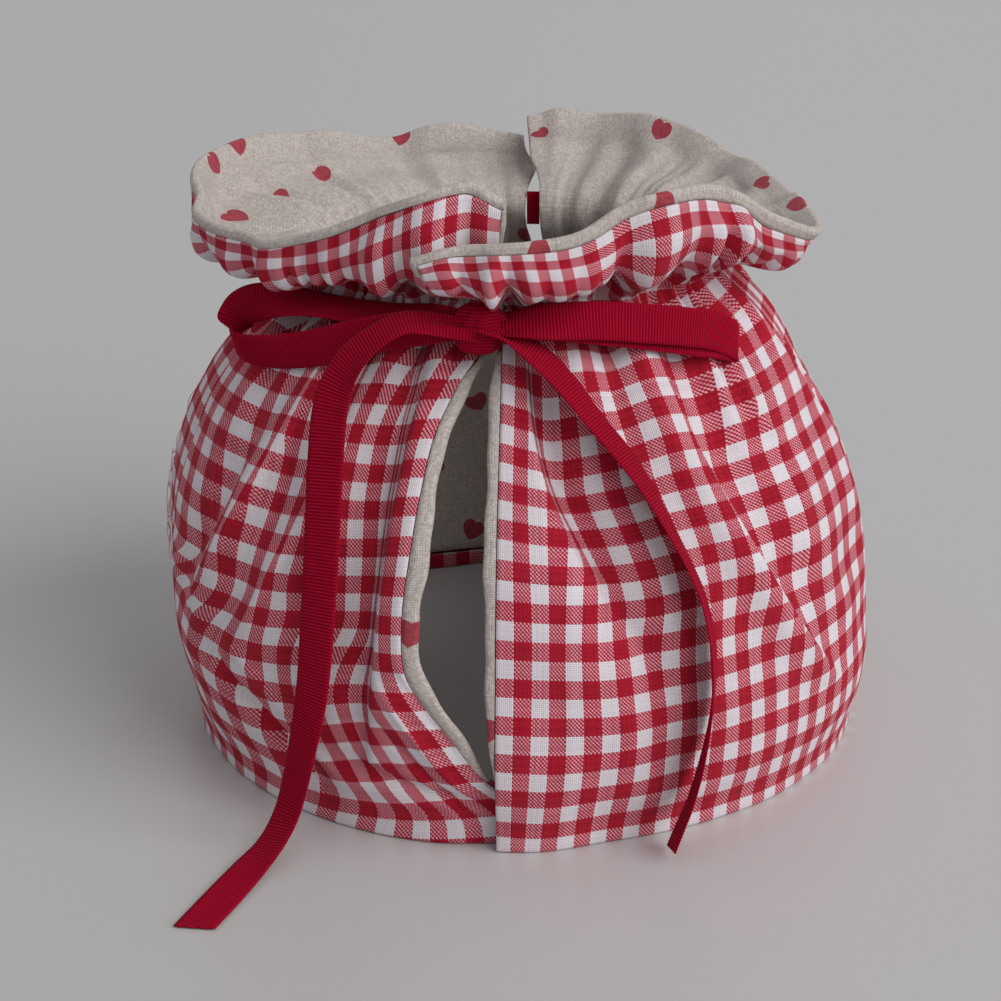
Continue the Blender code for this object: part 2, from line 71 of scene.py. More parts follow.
# Where the halves lap: the step out of the upper cloth, its flat part and its fade.
LAP_STEP = 2.3
LAP_FLAT = 8.0
LAP_FADE = 20.0
LAP_FOOT = (20.0, 45.0)
LAP_NECK = (112.0, 140.0)
LAP_IN_FRILL = 0.45

# The gathers of one half, the waves of their spacing and how far they run down into the shoulder.
# Waves are rows of height, rate and turn.
GATHERS = 12
GATHER_DEPTH = 2.1
GATHER_SWAY = ((0.30, 3.0, 1.0), (0.16, 7.0, 0.0))
GATHER_RUN = 34.0
GATHER_RUN_SWAY = ((18.0, 4.3, 0.8),)
GATHER_LEFT_AT_RIM = 0.25
GATHER_FREE_EDGE = (1.0, 7.0)
LINING_GATHER_SHARE = 0.5
LINING_SLACK_BELOW_NECK = (45.0, 10.0)
LINING_SLACK_AT_RIM = 0.4
RIM_WAVES = 7
RIM_WAVE_DEPTH = 1.2

NORMAL_STEP = 0.4
FOLD_FADE = 0.7

# The body's outline on four sides, from the hem to the root of the frill.
BODY_COLUMNS = ("along", "height", "front", "right", "back", "left")
BODY = (
    (0, 0, 98, 99.5, 97, 93.5),
    (4, 4, 98, 99.5, 97, 93.5),
    (20, 19.5, 101.5, 102.8, 100.5, 96.8),
    (37, 36.5, 102.5, 101.3, 101.5, 98.8),
    (66, 65, 98, 96, 97.5, 97.6),
    (88, 86, 90, 89.2, 90, 91.2),
    (107.5, 103, 80, 80, 80.5, 83),
    (125, 119, 68, 68.5, 69, 71),
    (137, 128.5, 58.5, 58, 58.5, 59.5),
    (145, 134, 55.5, 55, 55.5, 56),
    (151, 138, 60, 60, 60, 61),
)

# The frill: its puffed underside and its rim, at angles round each half.
FRILL_COLUMNS = ("angle", "under_reach", "under_height", "rim_reach", "rim_height", "bulge")
FRILL_RIGHT = (
    (-15.6, 75, 140.8, 77.5, 147.7, 1),
    (-10, 75.5, 141, 76.3, 149.9, 1.6),
    (0, 76, 141.5, 76, 151, 2),
    (15, 73.9, 141.5, 75.5, 152.5, 2),
    (32, 69.5, 143, 73.1, 160.5, 2.5),
    (53, 70, 143.5, 72.6, 157, 3),
    (65, 71, 137.5, 76, 147.5, 2.5),
    (78, 76, 136.5, 82, 141.5, 1),
    (104, 71, 138.5, 79.5, 142.5, 1),
    (128, 70, 140, 80.5, 147, 1.5),
    (148, 69, 142, 79.5, 154.5, 2),
    (170, 67, 143.5, 77, 155, 1.5),
    (182, 65, 145, 72.5, 153, 1),
)
FRILL_LEFT = (
    (178, 72, 140, 77.5, 147, 1),
    (198, 71, 140.5, 76.5, 152, 1.5),
    (212, 70, 140.5, 77.5, 149.5, 1.5),
    (234, 72, 141, 81, 154, 2),
    (249, 75.5, 141, 86, 154.5, 2.4),
    (265, 80.5, 140.5, 88.5, 154.5, 2.4),
    (275, 82, 139.5, 88.5, 152, 2.4),
    (284, 82.5, 138, 88, 148.5, 2.2),
    (294, 81, 136.5, 86, 146, 2),
    (309, 76.5, 136.5, 80, 146, 2),
    (323, 73.1, 137.5, 76, 150.5, 2),
    (338, 71.5, 140.5, 72.5, 159, 2.5),
    (352, 67, 144, 69.3, 164, 2.5),
    (360, 65, 145.5, 68, 160, 1.5),
)

# Where the free edges of the halves run at each slit. The lapping edge belongs to the half that starts
# there, the open edge to the half that ends there. Minus is short of the slit line on the open edge,
# and past it on the lapping edge.
SLIT_COLUMNS = ("along", "lapping_edge", "open_edge")
HANDLE_SLIT = (
    (0, 0, 6),
    (9, 0, 4.5),
    (16, 0, 0.5),
    (21, 0, -2.4),
    (33, 0, -6.8),
    (43, 0, -11),
    (51, 0, -13.2),
    (64, 0, -13.7),
    (80, 0, -13.2),
    (95, 0, -12.8),
    (110, 0, -12),
    (122, 0, -9.2),
    (131, 0, -5.6),
    (138, 0, -4),
    (145, 0, -3.6),
    (151, -1, -3),
    (157, -6, -1.8),
    (164, -12, -0.6),
    (184.4, -15.6, 0),
)
SPOUT_SLIT = (
    (0, 0, 6),
    (9, 0, 4.5),
    (17, 0, 0.5),
    (23, 0, -2.6),
    (35, 0, -7.4),
    (47, 0, -12),
    (64, 0, -14.6),
    (80, 0, -14.8),
    (95, 0, -13.2),
    (110, 0, -10.6),
    (122, 0, -8.4),
    (131, 0, -7),
    (138, 0, -6.4),
    (145, 0, -6.2),
    (151, -0.5, -5),
    (157, -1, -3.6),
    (164, -1, -1.6),
    (184.4, 3, -0.5),
)

# How far the lining stands out past the gingham at the free edges.
PEEP_COLUMNS = ("along", "lapping_edge", "open_edge")
PEEP = (
    (0, -1.5, -1.5),
    (16, -1.5, 0),
    (30, 1, 3),
    (60, 2.4, 4),
    (120, 2.4, 2.4),
    (136, 0.2, 0.2),
    (150, 0.2, 0.2),
    (164, 1, 0.5),
    (184.4, 2, 0.8),
)

# Main folds: each runs from a lower through a middle to an upper point, a ridge where its height is plus.
# Columns: low_along, low_angle, middle_angle, high_along, high_angle, height, width.
FOLDS = (
    (72, 18.5, 11, 139, 9.5, -2.8, 5.5),
    (48, 23.5, 17.5, 86, 11, -1.6, 5.5),
    (14, 28.5, 19.5, 126, 14, -2.6, 9),
    (26, 60, 38, 134, 30, 3.8, 6.5),
    (36, 67, 47.5, 130, 42.5, -2, 7),
    (30, 84, 79, 134, 74, 2.6, 8),
    (40, 108, 110, 132, 112, -2.6, 8),
    (24, 136, 133, 132, 130, 3, 8),
    (60, 156, 158, 134, 160, -2.4, 6),
    (50, 193, 190, 134, 187, -2.6, 6),
    (30, 222, 218, 134, 214, 3, 8),
    (44, 246, 243, 132, 240, -2.6, 8),
    (26, 272, 270, 130, 268, 2.4, 8),
    (38, 292, 305, 126, 311, -2.6, 6.5),
    (30, 299.5, 314, 130, 317.5, 3.2, 6.5),
    (24, 313, 322.5, 84, 333, 1.6, 6),
    (40, 333, 335.5, 128, 337, -2.6, 6),
    (34, 346, 346, 118, 346, 1.8, 5.5),
    (10, 332, 321, 42, 304, -2.2, 6),
    (8, 356, 349, 46, 340, 1.4, 6),
)

# The ribbon's route, with the way that its outer face looks at each point.
RIBBON_COLUMNS = ("x", "y", "z", "face_x", "face_y", "face_z")
KNOT = (-9.0, -66.5, 130.0)
KNOT_SIZE = (6.5, 4.0, 6.8)
LOOP_RIGHT = (
    (-9.5, -67.5, 130, -0.1, -0.7, 0.7),
    (-4, -68.2, 131, -0.1, -0.55, 0.83),
    (3.5, -69, 132.2, -0.02, -0.65, 0.75),
    (11.3, -68.6, 132.4, 0.14, -0.78, 0.6),
    (21.2, -66.3, 131.9, 0.27, -0.84, 0.47),
    (31.4, -62.8, 130.3, 0.38, -0.86, 0.32),
    (40.9, -58.2, 128.3, 0.5, -0.82, 0.25),
    (48.3, -53.4, 126.1, 0.61, -0.76, 0.2),
    (52.6, -49.9, 124.2, 0.68, -0.71, 0.17),
    (56, -47, 121.9, 0.8, -0.58, 0.14),
    (58.1, -44.8, 119.9, 1.00, -0.05, -0.05),
    (57, -44.8, 119.7, 0.15, 0.85, -0.5),
    (53.3, -48, 121.3, -0.45, 0.72, -0.5),
    (46.9, -52.7, 123.5, -0.52, 0.72, -0.46),
    (38.4, -57.5, 126, -0.49, 0.73, -0.47),
    (30.1, -61.3, 128.1, -0.42, 0.74, -0.52),
    (20.9, -64.7, 129.9, -0.33, 0.73, -0.59),
    (10.4, -66.8, 131.3, -0.2, 0.68, -0.7),
    (-1, -66.9, 131.1, -0.05, 0.6, -0.8),
    (-9.5, -66, 129.5, 0, 0.7, -0.7),
)
LOOP_LEFT = (
    (-8.5, -66, 130.3, 0.15, 0.81, 0.56),
    (-15, -65.3, 131, 0.2, 0.93, -0.3),
    (-22.9, -62.6, 131.3, 0.24, 0.58, -0.78),
    (-30.9, -58.6, 131.1, 0.22, 0.38, -0.9),
    (-39.1, -54, 130.9, 0.2, 0.31, -0.93),
    (-47, -49, 130.8, 0.2, 0.28, -0.94),
    (-54.9, -44, 130.5, 0.3, 0.37, -0.88),
    (-62, -39.5, 129.7, 0.48, 0.6, -0.63),
    (-68.3, -35.6, 128.3, 0.54, 0.83, -0.16),
    (-72.2, -33, 126, 0.44, 0.9, 0.02),
    (-74.2, -31.5, 123, 0.05, 1.00, -0.04),
    (-75.2, -32.2, 120, -0.9, 0.42, 0.02),
    (-74.8, -34.3, 117.9, -0.93, -0.25, -0.2),
    (-73.6, -37.3, 116.8, -0.74, -0.53, -0.42),
    (-70.4, -41.6, 117, -0.57, -0.72, -0.38),
    (-64.1, -46.6, 117.9, -0.5, -0.82, -0.28),
    (-56.7, -51.1, 119.6, -0.48, -0.86, -0.19),
    (-49.6, -55.5, 121.9, -0.45, -0.88, -0.13),
    (-42.6, -59.2, 124.8, -0.39, -0.91, -0.15),
    (-34.9, -62.7, 127.4, -0.32, -0.93, -0.18),
    (-27.3, -65.4, 129.4, -0.22, -0.95, -0.2),
    (-18, -67.4, 130.4, -0.12, -0.92, -0.36),
    (-8.5, -68, 130, -0.05, -0.88, -0.48),
)
TAIL_LEFT = (
    (-9.5, -69.5, 130.2, 0.3, -0.5, 0.8),
    (-15.5, -70.6, 131.3, 0.28, -0.38, 0.88),
    (-22.5, -72, 133, 0.12, -0.32, 0.92),
    (-27.6, -73, 133.2, -0.15, -0.32, 0.92),
    (-32.4, -73.8, 131.2, -0.42, -0.38, 0.82),
    (-37, -74.4, 127.9, -0.56, -0.5, 0.66),
    (-41.2, -74.6, 123.3, -0.58, -0.66, 0.48),
    (-44.3, -75.2, 117.6, -0.48, -0.8, 0.37),
    (-46.2, -77.2, 110.4, -0.4, -0.86, 0.32),
    (-47.3, -81.2, 97.6, -0.38, -0.87, 0.31),
    (-48.2, -86.2, 81, -0.41, -0.87, 0.27),
    (-49.6, -90.8, 61.3, -0.46, -0.86, 0.2),
    (-51.4, -93.5, 42.5, -0.55, -0.82, 0.16),
    (-54.2, -94.6, 27.4, -0.66, -0.72, 0.2),
    (-57, -95.6, 14.8, -0.68, -0.62, 0.38),
    (-59.2, -98.2, 8.4, -0.6, -0.46, 0.65),
    (-62.4, -103.4, 4.2, -0.44, -0.28, 0.85),
    (-67, -111, 1.6, -0.15, -0.15, 0.97),
    (-71.8, -122.6, 0.8, 0, -0.03, 1.00),
    (-77.2, -136.6, 0.6, 0, 0, 1.00),
)
SLIT_LEAD = (
    (-8, -65, 129, 1, 0.2, 0),
    (-5.8, -61, 130, 1, 0.1, 0),
    (-4.7, -57, 131, 1, 0, 0),
    (-4.6, -53.5, 131.5, 1, 0, 0),
)
BACK_STRETCH = (
    (3.6, 55, 133, 0.1, 1, 0),
    (7.4, 54.7, 133, 0.1, 1, 0),
)
TAIL_RIGHT = (
    (-8.5, -69.8, 130.4, -0.4, 0.1, -0.9),
    (-3, -70.6, 129.4, -0.4, 0.18, -0.9),
    (2, -71.6, 127.2, -0.42, 0.28, -0.86),
    (7.3, -72.8, 123.5, -0.5, 0.38, -0.77),
    (13.4, -74.8, 117.4, -0.61, 0.36, -0.7),
    (19.8, -77.7, 109.7, -0.66, 0.29, -0.68),
    (26.8, -81, 102, -0.7, 0.27, -0.66),
    (32.9, -84.3, 94, -0.77, 0.2, -0.6),
    (37.9, -87, 85.6, -0.84, 0.12, -0.53),
    (43, -89.3, 76.1, -0.89, 0.08, -0.43),
    (46.9, -91, 67.1, -0.93, 0.11, -0.33),
    (49.3, -92.3, 57.2, -0.96, 0.16, -0.19),
    (50.2, -93.5, 48.1, -0.98, 0.17, -0.06),
    (49.8, -94.7, 38.5, -0.99, 0.12, 0.06),
    (48.5, -95.8, 29, -0.99, 0.07, 0.15),
    (46.9, -96.9, 21.2, -0.97, 0.03, 0.24),
    (44.5, -98.6, 12.9, -0.95, 0.02, 0.31),
    (42.2, -100.5, 7.7, -0.93, 0, 0.37),
    (39.9, -102.5, 2.3, -0.92, -0.01, 0.39),
)


# ---------------------------------------------------------------- looks alone, in millimetres and degrees
# How thick the sheets are in the scene, and how far past the rim the frill's profile is carried on.
CLOTH_SHOWN = 0.6
LINING_SHOWN = 0.5
RIBBON_SHOWN = 0.45
RIM_PAST = 6.0

# One repeat of the checks and its threads, and where on the cut cloth a row of red and the rim lie.
WARP_REPEAT = 9.0
WEFT_REPEAT = 10.2
THREADS_IN_REPEAT = 18
FIRST_RED_WEFT = 7.0
WEFT_AT_RIM = 187.6

# The cloth's soft unevenness: sums of waves of many lengths.
NOISE_SEED = 41
NOISE_GAIN = 1.4
# Columns: height, longest, shortest, count.
NOISE = (
    (0.22, 70, 26, 9),
    (0.1, 24, 11, 12),
)

# The turned edges of the gingham, and how its mesh is divided.
EDGE_ROLL = 0.75
EDGE_FLAP = 4.0
EDGE_TURNS = 7
HEM_ROLL = 1.1
HEM_FLAP = 5.0
SHOULDER = NECK_LOW - 12.0
OUTER_ROWS = (66, 58)
OUTER_COLUMNS = 340
COLUMN_CROWD = 0.25

# The lining: its cut, its ripples inside the frill, and its edges that roll out past the gingham.
LINING_ROWS = (52, 56)
LINING_COLUMNS = 250
LINING_ACROSS = 290.0
LINING_FOOT = 6.0
LINING_TOP = FRILL_RIM - 2.0
LINING_FINE_SHARE = 0.35
RIPPLE = 2.8
RIPPLES = 27.0
RIPPLE_WANDER = ((1.6, 5.0, 1.0), (1.1, 11.0, 0.0))
RIPPLE_EVEN = 0.55
RIPPLE_BEATS = ((3.0, 0.6), (7.0, 2.0))
RIPPLE_FADE = (FRILL_BROW - 2.0, LINING_RIM - 4.0)
RIPPLE_CLEAR = (14.0, 28.0)
ROLL_TURNS = 8
ROLL_LEAST = 0.1
ROLL_INSIDE = 0.4
ROLL_END = 0.15
PEEP_WAVES = ((0.11, 1.0 / 6.1, 1.0), (0.06, 1.0 / 2.3, 0.0))
RIM_SHOWN = {
    "right": ((-16.0, 0.0, 60.0, 120.0, 182.0), (1.6, 2.5, 3.2, 2.6, 2.2)),
    "left": ((178.0, 270.0, 330.0, 360.0), (2.2, 2.0, 1.8, 2.0)),
}

# Where the columns of squares start to run straight up, where they fully do, and the far slit,
# with the cloth across at the first and the last of them.
LEFT_CLOTH_WIDTH = 300.2
EVEN_FROM_SLIT = (85.0, 125.0)
FAR_SLIT = 182.0
EVEN_ACROSS = {"right": (143.0, 297.0), "left": (142.0, 300.2)}

# The ribbon's ribs, its curl, its slanting cut, and how it is drawn together at the knot.
RIB = 0.85
RIB_HEIGHT = 0.13
RIB_STEPS = 7.0
RIBBON_POINTS = 11
ROUTE_SAMPLES = 900
SELVEDGE_SHARE = 0.7
CURL = 0.2
CURL_MIDDLE = 0.33
CURL_RUN = 23.0
CUT_SLANT = 2.5
CUT_RUN = 14.0
PINCH_NARROWS = 0.38
PINCH_DEPTH = 0.9
PINCH_WAVES = 1.5
PINCH_TURN = 0.6
PINCH_FROM_KNOT = ((0.0, 1.0), (5.0, 0.8), (15.0, 0.0))
KNOT_POINTS = (181, 90)
KNOT_PLUMP = 2.6
KNOT_RIB = 0.016
KNOT_ROUND = 5.0
# Columns: height, around, up, turn.
KNOT_CREASES = (
    (0.07, 5, 2, 0),
    (0.05, 9, -3, 1),
)

# Threads of the gingham, each with its dullest and its brightest colour, and how unevenly they took
# the dye: the shares of each thread's own shade and of the mottle, and the range of both together.
RED_THREAD = ((0.33, 0.006, 0.020), (0.47, 0.012, 0.034))
WHITE_THREAD = ((0.74, 0.66, 0.72), (0.81, 0.765, 0.81))
TINTED_THREAD = ((0.66, 0.22, 0.28), (0.80, 0.38, 0.44))
HATCH_SLANT = 0.13
HATCH_SOFT = 0.35
COTTON_MOTTLE = (190.0, 3.0)
COTTON_SHARES = (0.8, 0.6)
COTTON_RANGE = (0.2, 1.1)
# Painted shade: the cotton's colour darkens in the gaps between its threads and lightens a little on their
# crowns.
COTTON_THREAD_PAINTED_SHADE = (0.80, 1.06)
COTTON_BUMP = (0.8, 0.00012, 0.7)
COTTON_FINISH = (0.9, 0.06, 0.12)
WARP_CHANCE = 7.0
WEFT_CHANCE = 3.0

# The linen: shares of each thread's own shade, of the slubs up it and of the slubs across it.
# Its hearts stand on a lattice below the neck, and are placed one by one above it.
LINEN_PITCH = 0.6
LINEN = ((0.43, 0.37, 0.335), (0.68, 0.625, 0.595))
LINEN_SHARES = (0.40, 0.6, 0.5)
LINEN_RANGE = (0.3, 1.25)
# Painted shade: the linen's colour darkens in the gaps between its threads and lightens a little on their
# crowns.
LINEN_THREAD_PAINTED_SHADE = (0.8, 1.04)
LINEN_BUMP = (0.5, 0.00012, 0.8)
LINEN_FINISH = (0.92, 0.08, 0.12)
SLUB_RATES = ((1.5, 0.30), (0.25, 1.5))
SLUB_NOISE = (1.0, 3.0)
HEART_SIZE = 3.2
HEART_DROP = 0.12
HEART_STEP = 33.0
HEART_ROW = 24.0
HEART_STRAYS = 5.0
HEART_TURNS = 1.2
HEARTS_PLACED_ABOVE = 151.0
HEART_RED = ((0.32, 0.02, 0.04), (0.45, 0.038, 0.07))
HEART_COVER = 0.93
HEART_MOTTLE = 900.0
HEART_MOTTLE_RANGE = (0.3, 0.7)
HEART_NEAR = 4.0
# Each heart of the frill and the slits, on the cut lining.
# Columns: half, across, up, turn.
HEARTS = (
    ("left", 117.8, 189, 0.3),
    ("left", 87.1, 169.9, -0.4),
    ("left", 117.1, 162, 0.2),
    ("left", 148.6, 163.2, 0.5),
    ("left", 132.6, 186, -0.2),
    ("left", 48, 189, 0.4),
    ("left", 273.8, 60.3, 0.1),
    ("left", 292, 17, 0.4),
    ("right", 285.1, 180.5, -0.5),
    ("right", 237.9, 185.4, 0.1),
    ("right", 185.5, 184.9, 0.5),
    ("right", 157.6, 187.3, 0.3),
    ("right", 52.2, 192.9, -0.2),
    ("right", 11.8, 192.8, 0.2),
)
# The ribbon's reds, darkest and lightest: painted shade darkens the valleys between the ribs and lightens their
# crowns, and each thread's own tone varies at random.
RIBBON_RED = ((0.16, 0.001, 0.010), (0.40, 0.004, 0.027))
RIBBON_RIB_PAINTED_SHADE = (0.5, 0.85)
RIBBON_THREADS = 5.0
RIBBON_OWN = 0.22
RIBBON_FINISH = (0.75, 0.02, 0.03)
RIBBON_BUMP = (0.00003, 0.4)
LOOSE_MOTTLE = 400.0
SHEEN_ROUGHNESS = 0.5

# The floor, which lies mostly behind the cosy, with painted shade that darkens it towards the left; the light
# and the camera.
FLOOR_SIZE = 6.0
FLOOR_PUSHED_BACK = 0.3 * FLOOR_SIZE
FLOOR_FINISH = (0.32, 0.0, 0.5)
# Painted shade: the floor's colour runs from shaded on the left to lit on the right.
FLOOR_SHADED_TO_LIT = ((0.54, 0.533, 0.533), (0.59, 0.585, 0.59))
FLOOR_PAINTED_SHADE_RAMP = (-0.2, 0.17)
FLOOR_SHADE_FANS_FROM = 0.66
FLOOR_LEAST_REACH = 0.1
WORLD_COLOUR = (0.97, 0.985, 1.0)
WORLD_STRENGTH = 0.40
SUN_TOWARDS = (0.76, -0.50, 0.64)
SUN_SPREAD = 55.0
SUN_STRENGTH = 2.0
SUN_COLOUR = (1.0, 0.975, 0.96)
SENSOR = 36.0
PICTURE_PIXELS = 1001.0
CAMERA_PIXELS = 2155.0
CAMERA_SHIFT = -0.0145
CAMERA_DOWN = 20.58
CAMERA_NEAR = 0.01
CAMERA_PLACE = (-0.0009, -0.56957, 0.27913)

# Sharper creases than the main folds: steep on one side, easy on the other.
# Columns: low_along, low_angle, middle_angle, high_along, high_angle, height, before, after.
CREASES = (
    (66, 19, 8.6, 137, 6.4, -4.8, 1.2, 7.5),
    (40, 26, 19.5, 84, 13.5, -1.2, 1, 5),
    (28, 64, 42, 131, 37.5, -3, 1.2, 8),
    (28, 63, 41, 131, 36.5, 0.9, 3, 1),
    (90, 26.5, 23.5, 134, 21.5, -1.6, 2.5, 5),
    (88, 60, 54, 138, 50, 1.3, 1.6, 1.6),
    (60, 92, 86, 136, 82, 1.5, 2, 1.4),
    (30, 120, 114, 132, 116, -1.8, 1.2, 4),
    (46, 150, 146, 136, 142, 1.6, 3, 1.4),
    (40, 158, 161, 128, 165, -2, 5, 0.9),
    (70, 191.5, 187, 140, 185.6, -2.6, 0.8, 5.5),
    (34, 236, 224, 134, 214, 1.8, 4, 1.4),
    (64, 256, 250, 136, 246, 1.4, 1.6, 1.6),
    (50, 282, 284, 130, 286, -1.6, 4, 1.2),
    (40, 296.5, 315.5, 127, 318, 2.6, 7, 1.3),
    (36, 313, 323.5, 102, 330, 2, 5, 1.3),
    (16, 339.8, 341.2, 124, 342.5, -4.6, 8.5, 1.3),
    (8, 333, 321.5, 44, 304, -1.5, 1.4, 2.6),
    (14, 336, 325, 52, 309, 0.9, 1.4, 1.4),
    (13, 358, 346, 24, 337, -1.7, 3, 1),
    (12, 357.5, 349, 50, 341.5, 1.1, 1.3, 1.3),
    (8, 356, 349.5, 36, 342, -1.2, 1.2, 1.2),
    (20, 357, 351, 54, 343.5, -0.9, 1.3, 1.1),
)

# Loose threads down the left side: where each starts and ends, how far off the cloth, and its waves.
THREAD_RADIUS = 0.13
THREAD_LIES_OFF = 0.35
THREAD_SIDES = 6
THREAD_POINTS = 260
THREAD_TIP = (0.1, 40.0)
THREAD_ARCH = 0.6
THREAD_BOBS = (0.25, 1.7)
# Columns: high_along, high_angle, low_along, low_angle, off, waves, sway, curl.
LOOSE_THREADS = (
    (97, 271.5, 47, 279.5, 0.9, 5, 0.6, 0),
    (80, 273.5, 52, 277, 1.3, 3, 0.9, 1.6),
    (64, 276.5, 49, 281.5, 1.6, 2, 0.5, 2.2),
)

# Finer gathers than the solids carry: count in a half, depth, and where they start, fill, thin and end.
# Columns: count, depth, starts, fills, thins, ends.
FINE_GATHERS = (
    (25, 1.25, 116, 138, 160, 181),
    (45, 0.75, 124, 136, 150, 160),
)
FINE_WANDER = (0.9, 2.7)
FINE_WANDER_TOO = (0.4, 6.1, 2.0)
FINE_LEVEL = (0.28, 5.3)
FINE_LEVEL_TURN = 0.3
FINE_THINNED = 0.9
PUFF_ROUND = 0.8

# How the cut gingham lies on the cosy. Across: millimetres of cloth from the handle slit's edge, for each
# turn from that edge and at each of six heights. Up: how far the cloth has ridden up there.
ACROSS_COLUMNS = ("from_slit", "hem", "low", "middle", "high", "neck", "rim")
ACROSS_HEIGHTS = (0.0, 30.0, 60.0, 95.0, 130.0, 182.0)
ACROSS_RIGHT = (
    (0, 0, 0, 0, 0, 0, 0),
    (6, 12.7, 11, 10.4, 10.8, 9.3, 9.7),
    (12, 23.4, 21.7, 21.7, 18.1, 18.4, 19.4),
    (20, 37.3, 35.3, 36, 29.6, 32, 31.6),
    (30, 54.4, 53.8, 53.4, 45, 47.5, 45.3),
    (40, 71.9, 72.1, 72, 62.5, 59.4, 56.9),
    (50, 89.5, 89.3, 87.6, 74.4, 69.1, 67),
    (60, 108, 106.7, 99.8, 85.2, 77.8, 77.3),
    (75, 136.1, 130.2, 120, 103.7, 95.3, 95.1),
    (100, 177.9, 166.7, 155.1, 142.6, 134.3, 132.1),
    (140, 237.7, 227.8, 218, 207.9, 201.8, 199.8),
    (182, 297, 297, 289.2, 275, 274.4, 274.4),
)
ACROSS_LEFT = (
    (0, 0, 0, 0, 0, 0, 0),
    (6, 9.3, 9.9, 12.9, 9.2, 7.5, 7.6),
    (12, 19, 22.4, 24.3, 18.9, 15.5, 15.5),
    (20, 31.6, 40.1, 36.2, 35.5, 27.5, 26.3),
    (28, 42.7, 53.4, 49.1, 50.1, 40, 37.5),
    (38, 54.5, 64.3, 62.6, 58.8, 54, 51.6),
    (48, 66.4, 73.2, 71.1, 66.8, 66.3, 65.4),
    (60, 82.9, 84.7, 83.1, 80.4, 81.1, 81.6),
    (75, 105.5, 104, 102.7, 101.4, 101.7, 102.3),
    (100, 146.6, 143.3, 141.3, 139.8, 139.1, 139.1),
    (140, 219.7, 214, 208.2, 204.1, 202.4, 202.1),
    (182, 300.2, 300, 273, 271.7, 271.7, 271.7),
)
UP_COLUMNS = ("from_slit", "hem", "foot", "low", "middle", "high", "neck", "rim")
UP_HEIGHTS = (0.0, 20.0, 45.0, 75.0, 105.0, 135.0, 182.0)
UP_RIGHT = (
    (0, -0.8, -1.2, -0.2, 0.7, 2.3, 6.2, 7.6),
    (10, -0.1, 0.2, 0.8, 2.7, 5.9, 8, 8.5),
    (20, 0.4, 0.8, 1.9, 3.7, 5.9, 8.7, 9.2),
    (30, 0.4, 0.3, 1.3, 2.4, 4.2, 8.4, 9.5),
    (45, 0.6, 0.7, 1.6, 2.3, 5.3, 8.6, 9.5),
    (60, 0.9, 2.3, 3.2, 3.4, 6, 8.4, 9.1),
    (80, 0.5, 1.5, 2.5, 4, 6.3, 7.8, 8.4),
    (182, 0.3, 1.3, 2.7, 4.4, 6.2, 7.6, 8.2),
)
UP_LEFT = (
    (0, -3.2, -5.2, -5, -3.7, -2.5, -1.5, -1.2),
    (6, -2.7, -4.8, -4.2, -2.4, -1.1, -0.3, 0),
    (14, -2, -3.6, -2.5, -0.1, 0.7, 1.3, 1.5),
    (24, -0.8, -0.6, 1, 2.3, 3, 3.2, 3.3),
    (36, 0.4, 2.7, 2.9, 2.4, 4, 5, 5),
    (50, 0.5, 2.6, 3.6, 3.5, 4.6, 5.9, 6.2),
    (70, 0.2, 1.9, 3.6, 5, 6, 6.7, 7),
    (182, 0.2, 1.8, 3.5, 5, 6.1, 6.8, 7),
)

# Cloth that is folded away in the deepest creases: the width hidden, and where it starts and is full.
# Columns: half, low_along, low_angle, middle_angle, high_along, high_angle, hidden, starts, full.
TUCKS = (
    ("right", 72, 18, 8, 136, 6, 13.8, 62, 100),
    ("right", 30, 63, 42, 130, 37, 8.8, 38, 66),
    ("left", 42, 298, 315.5, 126, 318, 6.5, 44, 64),
    ("left", 38, 314, 323.5, 100, 329.5, 4.3, 44, 64),
    ("left", 18, 339.6, 340.9, 110, 341, 17.7, 28, 62),
)
TUCK_WIDTH = 1.5
TUCK_OPENS = 22.0


# ---------------------------------------------------------------- curves through tables
def column(table, names, name):
    """One named column of a table, as an array."""
    index = names.index(name)
    return np.array([row[index] for row in table])


def smooth(knots, values, at):
    """Values on the smooth curve through a table's points. Values may differ from place to place."""
    knots = np.asarray(knots, float)
    values = np.asarray(values, float)
    last = len(knots) - 1
    at = np.clip(np.asarray(at, float), knots[0], knots[last])
    low = np.clip(np.searchsorted(knots, at, side="left") - 1, 0, last - 1)

    def value(index):
        if values.ndim == 1:
            return values[index]
        return np.take_along_axis(values, index[None], axis=0)[0]

    def slope(index):
        before = np.maximum(index - 1, 0)
        after = np.minimum(index + 1, last)
        return (value(after) - value(before)) / (knots[after] - knots[before])

    span = knots[low + 1] - knots[low]
    part = (at - knots[low]) / span
    rise = value(low + 1) - value(low)
    start = slope(low) * span
    end = slope(low + 1) * span
    bend = 3.0 * rise - 2.0 * start - end
    twist = start + end - 2.0 * rise
    return value(low) + part * (start + part * (bend + part * twist))


def ease(value, low, high):
    """0 below low, 1 above high, smooth between."""
    part = np.clip((np.asarray(value, float) - low) / (high - low), 0.0, 1.0)
    return part * part * (3.0 - 2.0 * part)


def look_up(table, names, name, key, at):
    """A named column's value where the key column has a certain value."""
    return smooth(column(table, names, key), column(table, names, name), at)


def unit(vectors):
    return vectors / np.linalg.norm(vectors, axis=-1, keepdims=True)


